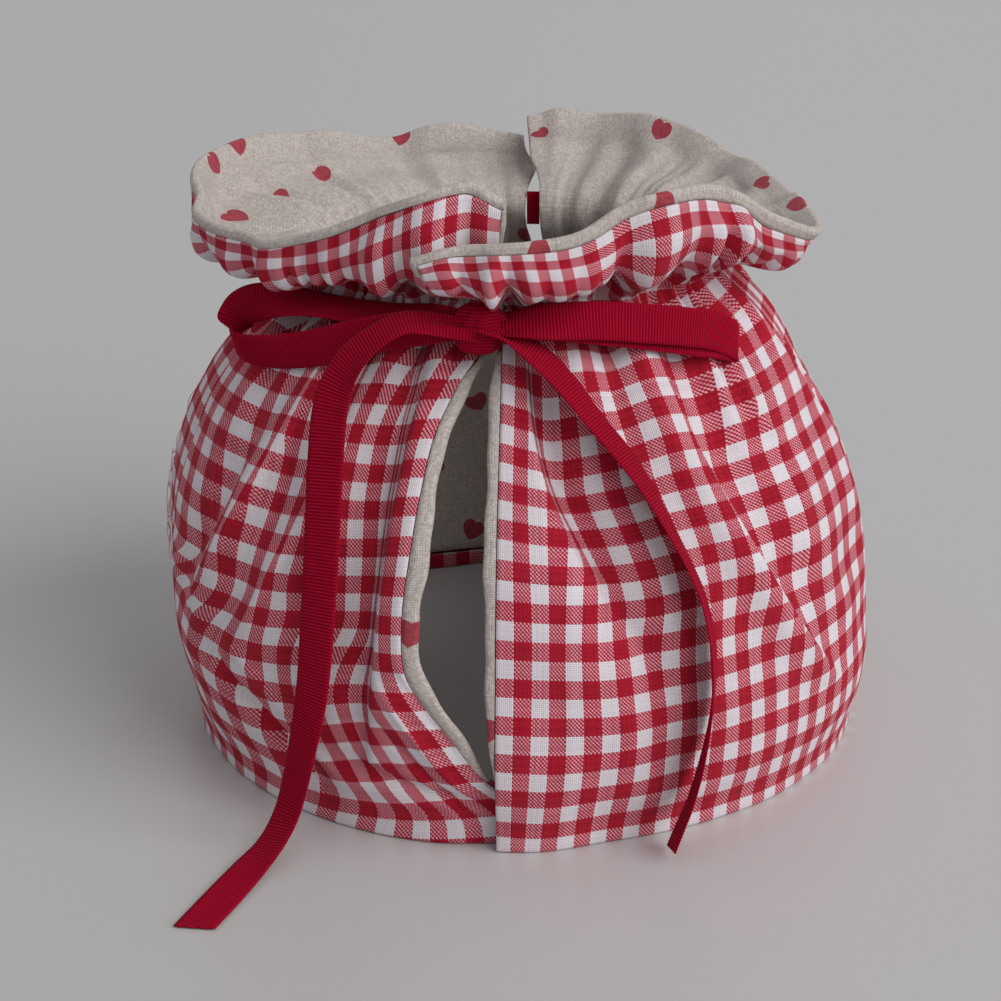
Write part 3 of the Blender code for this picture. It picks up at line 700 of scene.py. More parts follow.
# ---------------------------------------------------------------- the cloth's shape
class Half:
    """One half of the cosy: where it starts and ends, and its frill."""

    def __init__(self, name, start_angle, start_slit, end_slit, frill):
        self.name = name
        self.start_angle = start_angle
        self.start_slit = start_slit
        self.end_slit = end_slit
        self.frill = frill

    def start(self, along):
        """The angle of the edge that laps over the other half."""
        return self.start_angle + look_up(self.start_slit, SLIT_COLUMNS, "lapping_edge", "along", along)

    def end(self, along):
        """The angle of the edge that goes under the other half, or stands open."""
        return self.start_angle + 180.0 + look_up(self.end_slit, SLIT_COLUMNS, "open_edge", "along", along)


RIGHT = Half("right", 0.0, HANDLE_SLIT, SPOUT_SLIT, FRILL_RIGHT)
LEFT = Half("left", 180.0, SPOUT_SLIT, HANDLE_SLIT, FRILL_LEFT)


def body_reach(row, angle):
    """The outline's reach at any angle, blended from the four sides of one row."""
    reach = np.zeros_like(angle)
    for side, name in enumerate(("front", "right", "back", "left")):
        facing = np.maximum(np.cos(np.radians(angle - 90.0 * side)), 0.0)
        reach += row[BODY_COLUMNS.index(name)] * facing ** 2
    return reach


def profile(half, angle, along):
    """Reach and height of the smooth cloth at arrays of angle and along."""
    values = [look_up(half.frill, FRILL_COLUMNS, name, "angle", angle) for name in FRILL_COLUMNS[1:]]
    under_reach, under_height, rim_reach, rim_height, bulge = values
    length = np.hypot(rim_reach - under_reach, rim_height - under_height)
    out = (rim_reach - under_reach) / length
    up = (rim_height - under_height) / length
    past = FRILL_RIM + RIM_PAST
    alongs = list(column(BODY, BODY_COLUMNS, "along")) + [FRILL_UNDER, FRILL_BROW, FRILL_RIM, past]
    reaches = [body_reach(row, angle) for row in BODY]
    heights = [np.full_like(angle, row[BODY_COLUMNS.index("height")]) for row in BODY]
    reaches += [under_reach, (under_reach + rim_reach) / 2.0 + bulge * up]
    reaches += [rim_reach, rim_reach + RIM_PAST * out]
    heights += [under_height, (under_height + rim_height) / 2.0 - bulge * out]
    heights += [rim_height, rim_height + RIM_PAST * up]
    return smooth(alongs, np.array(reaches), along), smooth(alongs, np.array(heights), along)


def base_point(half, angle, along):
    """Points of the smooth cloth, before its folds and gathers."""
    reach, height = profile(half, angle, along)
    turn = np.radians(angle + HANDLE_SLIT_TURN)
    return np.stack((reach * np.sin(turn), -reach * np.cos(turn), height), axis=-1)


def base_normal(half, angle, along):
    """The way the gingham's face looks on the smooth cloth."""
    above = base_point(half, angle, np.minimum(along + NORMAL_STEP, FRILL_RIM + RIM_PAST))
    below = base_point(half, angle, np.maximum(along - NORMAL_STEP, 0.0))
    after = base_point(half, angle + NORMAL_STEP, along)
    before = base_point(half, angle - NORMAL_STEP, along)
    return unit(np.cross(after - before, above - below))


def fold_path(path, along):
    """Where a fold runs at each height, how strongly, and how square it stands to a level line."""
    low_along, low_angle, middle_angle, high_along, high_angle = path
    part = np.clip((along - low_along) / (high_along - low_along), 0.0, 1.0)
    bow = middle_angle - (low_angle + high_angle) / 2.0
    middle = low_angle + part * (high_angle - low_angle) + 4.0 * part * (1.0 - part) * bow
    lean = high_angle - low_angle + 4.0 * (1.0 - 2.0 * part) * bow
    lean = np.radians(lean) * MEAN_REACH / (high_along - low_along)
    return middle, np.sin(math.pi * part) ** FOLD_FADE, 1.0 / np.sqrt(1.0 + lean * lean)


def fold_relief(angle, along):
    """How far the main folds and the sharper creases push the cloth out."""
    relief = np.zeros_like(angle)
    for *path, height, width in FOLDS:
        middle, strength, _ = fold_path(path, along)
        away = np.radians(angle - middle) * MEAN_REACH / width
        relief += height * np.exp(-away * away) * strength
    for *path, height, before, after in CREASES:
        middle, strength, square = fold_path(path, along)
        away = np.radians(angle - middle) * MEAN_REACH * square
        away = np.where(away < 0.0, away / before, away / after)
        relief += height * np.exp(-away * away) * strength
    return relief


def waves(table, at):
    """A sum of waves, one for each row of height, rate and turn."""
    return sum(height * np.sin(rate * at + turn) for height, rate, turn in table)


def puff(phase):
    """A row of rounded puffs with a tight pinch between each two."""
    return 2.0 * np.abs(np.cos(math.pi * phase)) ** PUFF_ROUND - 1.0


def gather_relief(half, angle, along, share, fine_share):
    """The gathers drawn up at the neck, which run into the shoulder and fan out in the frill."""
    across = (angle - half.start_angle) / 180.0
    around = math.tau * across
    drift = waves(GATHER_SWAY, around)
    wave = np.cos(math.tau * (GATHERS * across + drift))
    run = GATHER_RUN + waves(GATHER_RUN_SWAY, around)
    spread_out = 1.0 - (1.0 - GATHER_LEFT_AT_RIM) * ease(along, FRILL_UNDER, FRILL_RIM)
    drawn = spread_out * ease((along - NECK_LOW) / run, -1.0, HEM_BAND / GATHER_RUN)
    ends = ease(np.minimum(angle - half.start(along), half.end(along) - angle), *GATHER_FREE_EDGE)
    rim_wave = np.sin(math.tau * (RIM_WAVES * across + drift / 2.0))
    rim_share = ease(along, FRILL_ROOT, FRILL_RIM)
    relief = share * GATHER_DEPTH * drawn * wave + RIM_WAVE_DEPTH * rim_share * rim_wave
    for count, depth, starts, fills, thins, stops in FINE_GATHERS:
        wander = waves(((*FINE_WANDER, count), FINE_WANDER_TOO), around)
        level = 1.0 - FINE_LEVEL[0] + waves(((*FINE_LEVEL, FINE_LEVEL_TURN * count),), around)
        height = ease(along, starts, fills) * (1.0 - FINE_THINNED * ease(along, thins, stops))
        relief = relief + fine_share * depth * level * height * puff(count * across + wander)
    return ends * relief


def lap_relief(half, angle, along):
    """The starting edge of each half steps out over the ending edge of the other."""
    from_start = np.radians(angle - half.start(along)) * MEAN_REACH
    from_end = np.radians(half.end(along) - angle) * MEAN_REACH
    foot = 1.0 - ease(along, *LAP_FOOT)
    neck = ease(along, *LAP_NECK) * (1.0 - (1.0 - LAP_IN_FRILL) * ease(along, FRILL_ROOT, FRILL_UNDER))
    over = 1.0 - ease(from_start, LAP_FLAT, LAP_FLAT + LAP_FADE)
    under = 1.0 - ease(from_end, LAP_FLAT, LAP_FLAT + LAP_FADE)
    return LAP_STEP * np.maximum(foot, neck) * (over - under)


def cloth_noise(across, along):
    """Soft unevenness of cotton that has been washed and handled, in millimetres."""
    dice = np.random.default_rng(NOISE_SEED)
    total = np.zeros_like(across)
    for height, longest, shortest, count in NOISE:
        for _ in range(count):
            wave = dice.uniform(shortest, longest)
            heading = dice.uniform(0.0, math.tau)
            turn = dice.uniform(0.0, math.tau)
            place = across * math.cos(heading) + along * math.sin(heading)
            total += height / math.sqrt(count) * NOISE_GAIN * np.sin(math.tau * place / wave + turn)
    return total


def cloth_surface(half, angle, along, inward=0.0, gather_share=1.0, fine_share=1.0):
    """Points of the folded cloth, moved inward from the gingham's face. The hem's band stands plumb."""
    held = np.maximum(along, HEM_BAND)
    relief = fold_relief(angle, held) + gather_relief(half, angle, held, gather_share, fine_share)
    relief += lap_relief(half, angle, held) + cloth_noise(np.radians(angle) * MEAN_REACH, held)
    normal = base_normal(half, angle, held)
    spots = base_point(half, angle, held) + (relief - inward)[..., None] * normal
    spots[..., 2] = np.where(along <= HEM_BAND, along, spots[..., 2])
    return spots


# ---------------------------------------------------------------- meshes
def add_mesh(name, points, faces, coordinates, material):
    """A smooth mesh piece. Coordinates are each point's place on the cut cloth, in millimetres."""
    mesh = bpy.data.meshes.new(name)
    mesh.vertices.add(len(points))
    mesh.vertices.foreach_set("co", (points * MM).ravel())
    mesh.loops.add(faces.size)
    mesh.loops.foreach_set("vertex_index", faces.ravel())
    mesh.polygons.add(len(faces))
    mesh.polygons.foreach_set("loop_start", np.arange(0, faces.size, faces.shape[1]))
    mesh.update(calc_edges=True)
    layer = mesh.uv_layers.new(name="cloth")
    layer.data.foreach_set("uv", coordinates[faces.ravel()].ravel())
    mesh.validate()
    mesh.shade_smooth()
    mesh.materials.append(material)
    piece = bpy.data.objects.new(name, mesh)
    piece.location = (AXIS_PLACE[0] * MM, AXIS_PLACE[1] * MM, 0.0)
    bpy.context.scene.collection.objects.link(piece)
    return piece


def grid_faces(rows, columns, wrap=False):
    """Quads of a grid whose points run column by column in each row."""
    row = np.arange(rows - 1)[:, None] * columns
    last = columns if wrap else columns - 1
    here = np.arange(last)[None, :]
    after = (here + 1) % columns
    quads = np.stack((row + here, row + after, row + columns + after, row + columns + here), axis=-1)
    return quads.reshape(-1, 4)


def grid_piece(name, points, across, up, material, thickness):
    """A sheet through a grid of points, with its thickness behind its face."""
    rows, columns = points.shape[:2]
    coordinates = np.stack((across, up), axis=-1).reshape(-1, 2)
    piece = add_mesh(name, points.reshape(-1, 3), grid_faces(rows, columns), coordinates, material)
    solid = piece.modifiers.new("thickness", "SOLIDIFY")
    solid.thickness = thickness * MM
    solid.offset = -1.0
    return piece


def turned_edge(radius, flap):
    """The rolled edge of a turning: distance in from the edge, depth, and length round the roll."""
    turns = np.linspace(math.pi, 0.0, EDGE_TURNS)
    back = np.array([flap, (flap + radius) / 2.0])
    from_edge = np.concatenate((back, radius - radius * np.sin(turns)))
    depth = np.concatenate((np.full(2, 2.0 * radius), radius - radius * np.cos(turns)))
    steps = np.hypot(np.diff(from_edge), np.diff(depth))
    length = np.concatenate((np.cumsum(steps[::-1])[::-1], [0.0]))
    return from_edge, depth, length


def spread(low, high, count, crowd=0.0):
    """Places from low to high, crowded towards both ends."""
    part = np.linspace(0.0, 1.0, count)
    part = part - crowd * np.sin(math.tau * part) / math.tau
    return low + (high - low) * part


def turn_of_mm(half, angle, along):
    """How many degrees round the cosy one millimetre takes up at a place."""
    return np.degrees(1.0 / np.linalg.norm(base_point(half, angle, along)[..., :2], axis=-1))


def held_between(angle, sideways, low, high):
    """Each point's angle on the cloth's face: the points of a turned edge all lie at that edge."""
    low, high = low[:, None], high[:, None]
    flat = np.clip(angle, low, high)
    return np.where(sideways < 0.0, low, np.where(sideways > 0.0, high, flat))


def lie(table, names, heights, from_slit, along):
    """A value from a table with one row for each turn from the slit and one column for each height."""
    levels = [look_up(table, names, name, names[0], from_slit) for name in names[1:]]
    return smooth(heights, np.stack(levels), along)


def cloth_up(along):
    """How high on the cut cloth each height lies: the frill takes more cloth than its profile shows."""
    stretch = (WEFT_AT_RIM - FRILL_ROOT) / (FRILL_RIM - FRILL_ROOT)
    return along + (stretch - 1.0) * np.maximum(along - FRILL_ROOT, 0.0)


def gingham_place(half, angle, along):
    """Where on the cut cloth a place on the made-up cosy lies, across and up."""
    right = half is RIGHT
    from_slit = angle - half.start(along) if right else half.end(along) - angle
    across_table, up_table = (ACROSS_RIGHT, UP_RIGHT) if right else (ACROSS_LEFT, UP_LEFT)
    across = lie(across_table, ACROSS_COLUMNS, ACROSS_HEIGHTS, from_slit, along)
    for name, *path, hidden, starts, full in TUCKS:
        if name == half.name:
            away = np.radians(angle - fold_path(path, along)[0]) * MEAN_REACH * (1.0 if right else -1.0)
            width = TUCK_WIDTH + TUCK_OPENS * ease(along, NECK_LOW, FRILL_ROOT)
            across = across + hidden * ease(along, starts, full) * ease(away / width, -1.0, 1.0)
    # Round the back the columns of squares run straight up.
    near, far = EVEN_FROM_SLIT
    even = np.interp(from_slit, (near, FAR_SLIT), EVEN_ACROSS[half.name])
    even = even + np.radians(np.maximum(from_slit - FAR_SLIT, 0.0)) * MEAN_REACH
    across = across + (even - across) * ease(from_slit, near, far)
    up = cloth_up(along) + lie(up_table, UP_COLUMNS, UP_HEIGHTS, from_slit, along)
    return across if right else LEFT_CLOTH_WIDTH - across, up


def outer_half(half, material):
    """The gingham of one half, turned in at its free edges, its rim and its hem."""
    edge_in, edge_depth, edge_length = turned_edge(EDGE_ROLL, EDGE_FLAP)
    hem_in, hem_depth, hem_length = turned_edge(HEM_ROLL, HEM_FLAP)
    rim = FRILL_RIM - EDGE_ROLL
    body = np.concatenate((spread(HEM_ROLL, SHOULDER, OUTER_ROWS[0])[1:],
                           spread(SHOULDER, rim, OUTER_ROWS[1])[1:]))
    flat_body = np.zeros(len(body))
    along = np.concatenate((hem_in, body, FRILL_RIM - edge_in[::-1][1:]))
    row_depth = np.concatenate((hem_depth, flat_body, edge_depth[::-1][1:]))
    row_extra = np.concatenate((-hem_length, flat_body, edge_length[::-1][1:]))
    start, end = half.start(along), half.end(along)
    start_mm, end_mm = turn_of_mm(half, start, along), turn_of_mm(half, end, along)
    low = start + EDGE_ROLL * start_mm
    high = end - EDGE_ROLL * end_mm
    share = spread(0.0, 1.0, OUTER_COLUMNS, COLUMN_CROWD)[1:-1]
    angle = np.concatenate((start[:, None] + start_mm[:, None] * edge_in,
                            low[:, None] + (high - low)[:, None] * share,
                            end[:, None] - end_mm[:, None] * edge_in[::-1]), axis=1)
    column_depth = np.concatenate((edge_depth, np.zeros(len(share)), edge_depth[::-1]))
    column_extra = np.concatenate((-edge_length, np.zeros(len(share)), edge_length[::-1]))
    flat_angle = held_between(angle, column_extra, low, high)
    tall = np.broadcast_to(along[:, None], angle.shape)
    flat_tall = np.where(row_extra < 0.0, HEM_ROLL, np.where(row_extra > 0.0, rim, along))
    flat_tall = np.clip(flat_tall, 0.0, FRILL_RIM)
    across, up = gingham_place(half, flat_angle, np.broadcast_to(flat_tall[:, None], angle.shape))
    across, up = across + column_extra, up + row_extra[:, None]
    points = cloth_surface(half, angle, tall, np.maximum(column_depth[None, :], row_depth[:, None]))
    # The turned corners at the hem are several layers thick, and keep clear of what the cosy stands on.
    corner = (column_depth[None, :] > EDGE_ROLL) & (tall < CLOTH_SHOWN)
    points[..., 2] = np.where(corner, CLOTH_SHOWN, points[..., 2])
    return grid_piece("outer_" + half.name, points, across, up, material, CLOTH_SHOWN)


def lining_inset(along):
    """How far the lining's face lies inside the gingham's, with room for the gathers it does not follow."""
    below, above = LINING_SLACK_BELOW_NECK
    slack = GATHER_DEPTH * (1.0 - LINING_GATHER_SHARE) * ease(along, NECK_LOW - below, NECK_LOW - above)
    slack *= 1.0 - (1.0 - LINING_SLACK_AT_RIM) * ease(along, FRILL_BROW, LINING_RIM)
    return GINGHAM_THICKNESS + PIECE_GAP + LINING_CLEARANCE + slack


def frill_ripple(angle, along):
    """Soft radial folds of the lining inside the frill, that only ever stand away from the gingham."""
    turn = np.radians(angle)
    phase = RIPPLES * turn + waves(RIPPLE_WANDER, turn)
    slow, quick = (np.sin(rate * turn + lag) for rate, lag in RIPPLE_BEATS)
    size = RIPPLE_EVEN + (1.0 - RIPPLE_EVEN) * slow * quick
    run = ease(along, NECK_LOW, FRILL_ROOT) * (1.0 - ease(along, *RIPPLE_FADE))
    clear = ease(np.minimum(angle - angle[:, :1], angle[:, -1:] - angle), *RIPPLE_CLEAR)
    return RIPPLE * run[:, None] * size * clear * (0.5 + 0.5 * np.sin(phase)) ** 2


def proud_edge(shown, depth):
    """The lining's turned edge: how far out past the gingham, how deep, and the length round the roll.

    Shown is how far it stands out. It rolls outward and comes back to the gingham's own edge.
    """
    turns = np.linspace(0.0, math.pi, ROLL_TURNS)
    roll = (depth - LINING_SHOWN - ROLL_INSIDE) / 2.0
    roll = np.clip(roll, ROLL_LEAST, np.maximum(shown / 2.0, ROLL_LEAST))
    out = (shown - roll)[:, None] + roll[:, None] * np.sin(turns)
    deep = depth[:, None] - roll[:, None] + roll[:, None] * np.cos(turns)
    back = np.minimum(shown - roll, ROLL_END)[:, None]
    out = np.concatenate((out, (out[:, -1:] + back) / 2.0, back), axis=1)
    deep = np.concatenate((deep, deep[:, -1:], deep[:, -1:]), axis=1)
    steps = np.hypot(np.diff(out, axis=1), np.diff(deep, axis=1))
    length = np.concatenate((np.zeros((len(shown), 1)), np.cumsum(steps, axis=1)), axis=1)
    return out, deep, length


def slit_roll(half, name, edge, along):
    """The lining's roll along one slit edge: the edge, degrees a millimetre, and the roll's own path."""
    shown = look_up(PEEP, PEEP_COLUMNS, name, "along", along) * (1.0 + waves(PEEP_WAVES, along))
    return edge, turn_of_mm(half, edge, along)[:, None], proud_edge(shown, lining_inset(along))


def inner_half(half, material):
    """The lining of one half, its edges rolled out past the gingham's at the slits and the rim."""
    body = np.concatenate((spread(LINING_FOOT, SHOULDER, LINING_ROWS[0]),
                           spread(SHOULDER, LINING_TOP, LINING_ROWS[1])[1:]))
    share = spread(0.0, 1.0, LINING_COLUMNS, COLUMN_CROWD)[1:-1]
    # The rim's roll has the slit rolls' number of points, and each column rolls out by its own amount.
    along = np.concatenate((body, np.full(ROLL_TURNS + 2, FRILL_RIM)))
    deep = lining_inset(along)
    start, start_mm, start_roll = slit_roll(half, "lapping_edge", half.start(along), along)
    end, end_mm, end_roll = slit_roll(half, "open_edge", half.end(along), along)
    start_out, start_deep, start_length = (part[:, ::-1] for part in start_roll)
    end_out, end_deep, end_length = end_roll
    before = start[:, None] - start_mm * start_out
    after = end[:, None] + end_mm * end_out
    low, high = before[:, -1], after[:, 0]
    angle = np.concatenate((before, low[:, None] + (high - low)[:, None] * share, after), axis=1)
    depth = np.concatenate((start_deep, np.repeat(deep[:, None], len(share), axis=1), end_deep), axis=1)
    depth = depth + frill_ripple(angle, along)
    sideways = np.concatenate((-start_length, np.zeros((len(along), len(share))), end_length), axis=1)
    flat_angle = held_between(angle, sideways, low, high)
    across = LINING_ACROSS * (flat_angle - half.start_angle) / 180.0 + sideways
    shown = np.interp(flat_angle[-1], *RIM_SHOWN[half.name])
    rim_out, rim_depth, rim_length = proud_edge(shown, np.full(len(shown), deep[-1]))
    tall = np.repeat(along[:, None], angle.shape[1], axis=1)
    rim = slice(len(body), None)
    tall[rim] = FRILL_RIM + rim_out.T
    depth[rim] = np.minimum(depth[rim], rim_depth.T)
    up = cloth_up(np.minimum(tall, FRILL_RIM))
    up[rim] = up[rim][0] + (rim_out[:, :1].T + rim_length.T)
    points = cloth_surface(half, angle, tall, depth, LINING_GATHER_SHARE, LINING_FINE_SHARE)
    return grid_piece("inner_" + half.name, points, across, up, material, LINING_SHOWN)


# ---------------------------------------------------------------- ribbon
def ribbon_line(route, spacing):
    """Evenly spaced centres along a route, their faces, and their distances from its start."""
    knots = np.arange(len(route), dtype=float)
    fine = np.linspace(0.0, knots[-1], ROUTE_SAMPLES)
    columns = [smooth(knots, column(route, RIBBON_COLUMNS, name), fine) for name in RIBBON_COLUMNS]
    centres = np.stack(columns[:3], axis=-1)
    faces = np.stack(columns[3:], axis=-1)
    lengths = np.concatenate(([0.0], np.cumsum(np.linalg.norm(np.diff(centres, axis=0), axis=1))))
    count = int(lengths[-1] / spacing) + 1
    at = np.linspace(0.0, lengths[-1], count)
    centres = np.stack([np.interp(at, lengths, centres[:, axis]) for axis in range(3)], axis=-1)
    faces = np.stack([np.interp(at, lengths, faces[:, axis]) for axis in range(3)], axis=-1)
    return centres, faces, at


def pinch_at(from_knot):
    return np.interp(from_knot, *zip(*PINCH_FROM_KNOT))


def ribbon_piece(name, route, material, starts_at_knot=False, ends_at_knot=False, slant=0.0):
    """A strip of grosgrain with real ribs, drawn together where it comes to the knot."""
    centres, faces, at = ribbon_line(route, RIB / RIB_STEPS)
    run = unit(np.gradient(centres, axis=0))
    faces = unit(faces - np.sum(faces * run, axis=1, keepdims=True) * run)
    run, side, faces, total = run[:, None, :], np.cross(run, faces)[:, None, :], faces[:, None, :], at[-1]
    part = np.linspace(-0.5, 0.5, RIBBON_POINTS)
    drawn = np.maximum(starts_at_knot * pinch_at(at), ends_at_knot * pinch_at(total - at))[:, None]
    slide = slant * part[None, :] * ease(at, total - CUT_RUN, total)[:, None]
    place_along = at[:, None] + slide
    rib = RIB_HEIGHT * np.cos(math.tau * place_along / RIB)
    curl = CURL * (4.0 * part ** 2 - CURL_MIDDLE)[None, :] * np.sin(at / CURL_RUN)[:, None]
    narrow = RIBBON_WIDTH * (1.0 - PINCH_NARROWS * drawn)
    fold = PINCH_DEPTH * drawn * np.cos(math.tau * PINCH_WAVES * part + PINCH_TURN)[None, :]
    base = centres[:, None, :] + side * (narrow * part[None, :])[..., None]
    base = base + faces * (fold + curl)[..., None] + run * slide[..., None]
    thinned = np.ones(RIBBON_POINTS)
    thinned[[0, -1]] = SELVEDGE_SHARE
    half_deep = (RIBBON_SHOWN / 2.0 + rib)[..., None] * thinned[None, :, None]
    ring = np.concatenate((base + faces * half_deep, (base - faces * half_deep)[:, ::-1]), axis=1)
    rows, columns = ring.shape[:2]
    # Each end is closed with a strip of quads from the front's points to the back's.
    index = np.arange(RIBBON_POINTS - 1)
    cap = np.stack((index, columns - 1 - index, columns - 2 - index, index + 1), axis=-1)
    quads = np.concatenate((grid_faces(rows, columns, wrap=True), cap, cap[:, ::-1] + (rows - 1) * columns))
    across = np.broadcast_to(np.concatenate((part, part[::-1])) * RIBBON_WIDTH, (rows, columns))
    up = np.concatenate((place_along, place_along[:, ::-1]), axis=1)
    coordinates = np.stack((across, up), axis=-1).reshape(-1, 2)
    return add_mesh(name, ring.reshape(-1, 3), quads, coordinates, material)


def knot_piece(name, material):
    """The knot: a short plump wrap of ribbon, with creases that run down it."""
    around, tall = KNOT_POINTS
    turn, height = np.meshgrid(np.linspace(0.0, math.tau, around)[:-1], np.linspace(-1.0, 1.0, tall))
    swell = (1.0 - np.abs(height) ** KNOT_PLUMP) ** (1.0 / KNOT_PLUMP)
    relief = KNOT_RIB * np.cos(math.tau * height * KNOT_SIZE[2] / RIB)
    for size, around_rate, up_rate, lag in KNOT_CREASES:
        relief += size * np.sin(around_rate * turn + up_rate * height + lag)
    size = swell * (1.0 + relief * swell)
    points = np.array(KNOT) + np.array(KNOT_SIZE) * np.stack(
        (size * np.sin(turn), -size * np.cos(turn), height), axis=-1)
    rows, columns = points.shape[:2]
    coordinates = np.stack((turn * KNOT_ROUND, height * KNOT_SIZE[2]), axis=-1).reshape(-1, 2)
    return add_mesh(name, points.reshape(-1, 3), grid_faces(rows, columns, wrap=True), coordinates, material)


def loose_threads(name, half, material):
    """Fine tubes of thread that have worked loose and lie over the side of one half."""
    turn = np.linspace(0.0, math.tau, THREAD_SIDES + 1)[:-1]
    share = np.linspace(0.0, 1.0, THREAD_POINTS)
    thinnest, swells = THREAD_TIP
    bob_height, bob_rate = THREAD_BOBS
    points, quads, coordinates = [], [], []
    for high, high_angle, low, low_angle, off, count, sway, curl in LOOSE_THREADS:
        phase = math.tau * count * share
        along = high + (low - high) * share + curl * np.sin(2.0 * phase)
        angle = high_angle + (low_angle - high_angle) * share + sway * np.sin(phase + 1.0)
        bob = 1.0 - bob_height + bob_height * np.cos(bob_rate * phase)
        lift = off * np.sin(math.pi * share) ** THREAD_ARCH * bob
        centres = cloth_surface(half, angle, along, -lift - THREAD_LIES_OFF)
        run = unit(np.gradient(centres, axis=0))
        side = unit(np.cross(run, np.array([0.0, 0.0, 1.0])))[:, None, :]
        rise = np.cross(side, run[:, None, :])
        radius = THREAD_RADIUS * np.minimum(1.0, thinnest + swells * np.minimum(share, 1.0 - share))
        ring = side * np.cos(turn)[None, :, None] + rise * np.sin(turn)[None, :, None]
        ring = centres[:, None, :] + radius[:, None, None] * ring
        quads.append(grid_faces(len(share), len(turn), wrap=True) + sum(len(part) for part in points))
        points.append(ring.reshape(-1, 3))
        places = np.stack(np.broadcast_arrays(turn[None, :], along[:, None]), axis=-1)
        coordinates.append(places.reshape(-1, 2))
    return add_mesh(name, *(np.concatenate(parts) for parts in (points, quads, coordinates)), material)


# ---------------------------------------------------------------- materials
class Nodes:
    """The nodes of a material or a group, with short ways to add and link them."""

    def __init__(self, tree):
        self.tree = tree

    def put(self, socket, value):
        if isinstance(value, bpy.types.NodeSocket):
            self.tree.links.new(value, socket)
        elif isinstance(value, tuple):
            socket.default_value = (*value, 1.0) if len(value) == 3 and socket.type == "RGBA" else value
        else:
            socket.default_value = value

    def add(self, kind, *values, **settings):
        """A new node: its settings, and values for its inputs from the first on."""
        node = self.tree.nodes.new("ShaderNode" + kind)
        for name, setting in settings.items():
            setattr(node, name, setting)
        for socket, value in zip(node.inputs, values):
            self.put(socket, value)
        return node

    def calc(self, operation, *values):
        return self.add("Math", *values, operation=operation).outputs[0]

    plus = partialmethod(calc, "ADD")
    minus = partialmethod(calc, "SUBTRACT")
    times = partialmethod(calc, "MULTIPLY")
    over = partialmethod(calc, "DIVIDE")
    floor = partialmethod(calc, "FLOOR")
    modulo = partialmethod(calc, "FLOORED_MODULO")

    def between(self, share, low, high):
        """A number from low to high as the share goes from 0 to 1."""
        return self.calc("MULTIPLY_ADD", share, high - low, low)

    def mix(self, share, first, second):
        """A colour from the first to the second as the share goes from 0 to 1."""
        node = self.add("Mix", data_type="RGBA")
        for key, value in (("Factor", share), (6, first), (7, second)):
            self.put(node.inputs[key], value)
        return node.outputs[2]

    def step(self, value, low, high):
        """0 below low, 1 above high, smooth between."""
        return self.add("MapRange", value, low, high, interpolation_type="SMOOTHSTEP").outputs["Result"]

    def join(self, *values):
        return self.add("CombineXYZ", *values).outputs[0]

    def noise(self, place, scale, detail=2.0):
        node = self.add("TexNoise", place)
        node.inputs["Scale"].default_value = scale
        node.inputs["Detail"].default_value = detail
        return node.outputs["Fac"]

    def chance(self, x, y):
        """An even random number for each whole pair."""
        return self.add("TexWhiteNoise", self.join(x, y), noise_dimensions="2D").outputs["Value"]


class Material(Nodes):
    """A material's nodes, with its shader."""

    def __init__(self, name):
        self.material = bpy.data.materials.new(name)
        self.material.use_nodes = True
        super().__init__(self.material.node_tree)
        self.shader = self.tree.nodes["Principled BSDF"]

    def cloth(self):
        """The place on the cut cloth, across and up, in millimetres."""
        place = self.add("UVMap", uv_map="cloth").outputs["UV"]
        return tuple(self.add("SeparateXYZ", place).outputs)[:2]

    def object_place(self):
        return self.add("TexCoord").outputs["Object"]

    def bump(self, height, distance, strength):
        node = self.add("Bump")
        node.inputs["Distance"].default_value = distance
        node.inputs["Strength"].default_value = strength
        self.put(node.inputs["Height"], height)
        self.put(self.shader.inputs["Normal"], node.outputs["Normal"])

    def rough(self, threads, unevenness, share, distance, strength):
        """The bump of the threads, with a share of a slower unevenness."""
        self.bump(self.plus(threads, self.times(unevenness, share)), distance, strength)

    def paint(self, colour):
        self.put(self.shader.inputs["Base Color"], colour)

    def shade(self, colour, share):
        """Link a colour, darkened by a share of painted shade, to the shader."""
        node = self.add("VectorMath", colour, operation="SCALE")
        self.put(node.inputs["Scale"], share)
        self.paint(node.outputs[0])

    def finish(self, roughness, sheen, specular):
        """Set what is the same all over the surface, and hand the material over."""
        inputs = self.shader.inputs
        inputs["Roughness"].default_value = roughness
        inputs["Sheen Weight"].default_value = sheen
        inputs["Sheen Roughness"].default_value = SHEEN_ROUGHNESS
        inputs["Specular IOR Level"].default_value = specular
        return self.material

    def weave(self, across, up, warp_pitch, weft_pitch):
        """Plain weave: the place and the number of warp and weft threads, and their rounded height."""
        places = [self.over(across, warp_pitch), self.over(up, weft_pitch)]
        rounds = [self.calc("SINE", self.times(self.calc("FRACT", place), math.pi)) for place in places]
        return (*places, *(self.floor(place) for place in places), self.calc("SQRT", self.times(*rounds)))


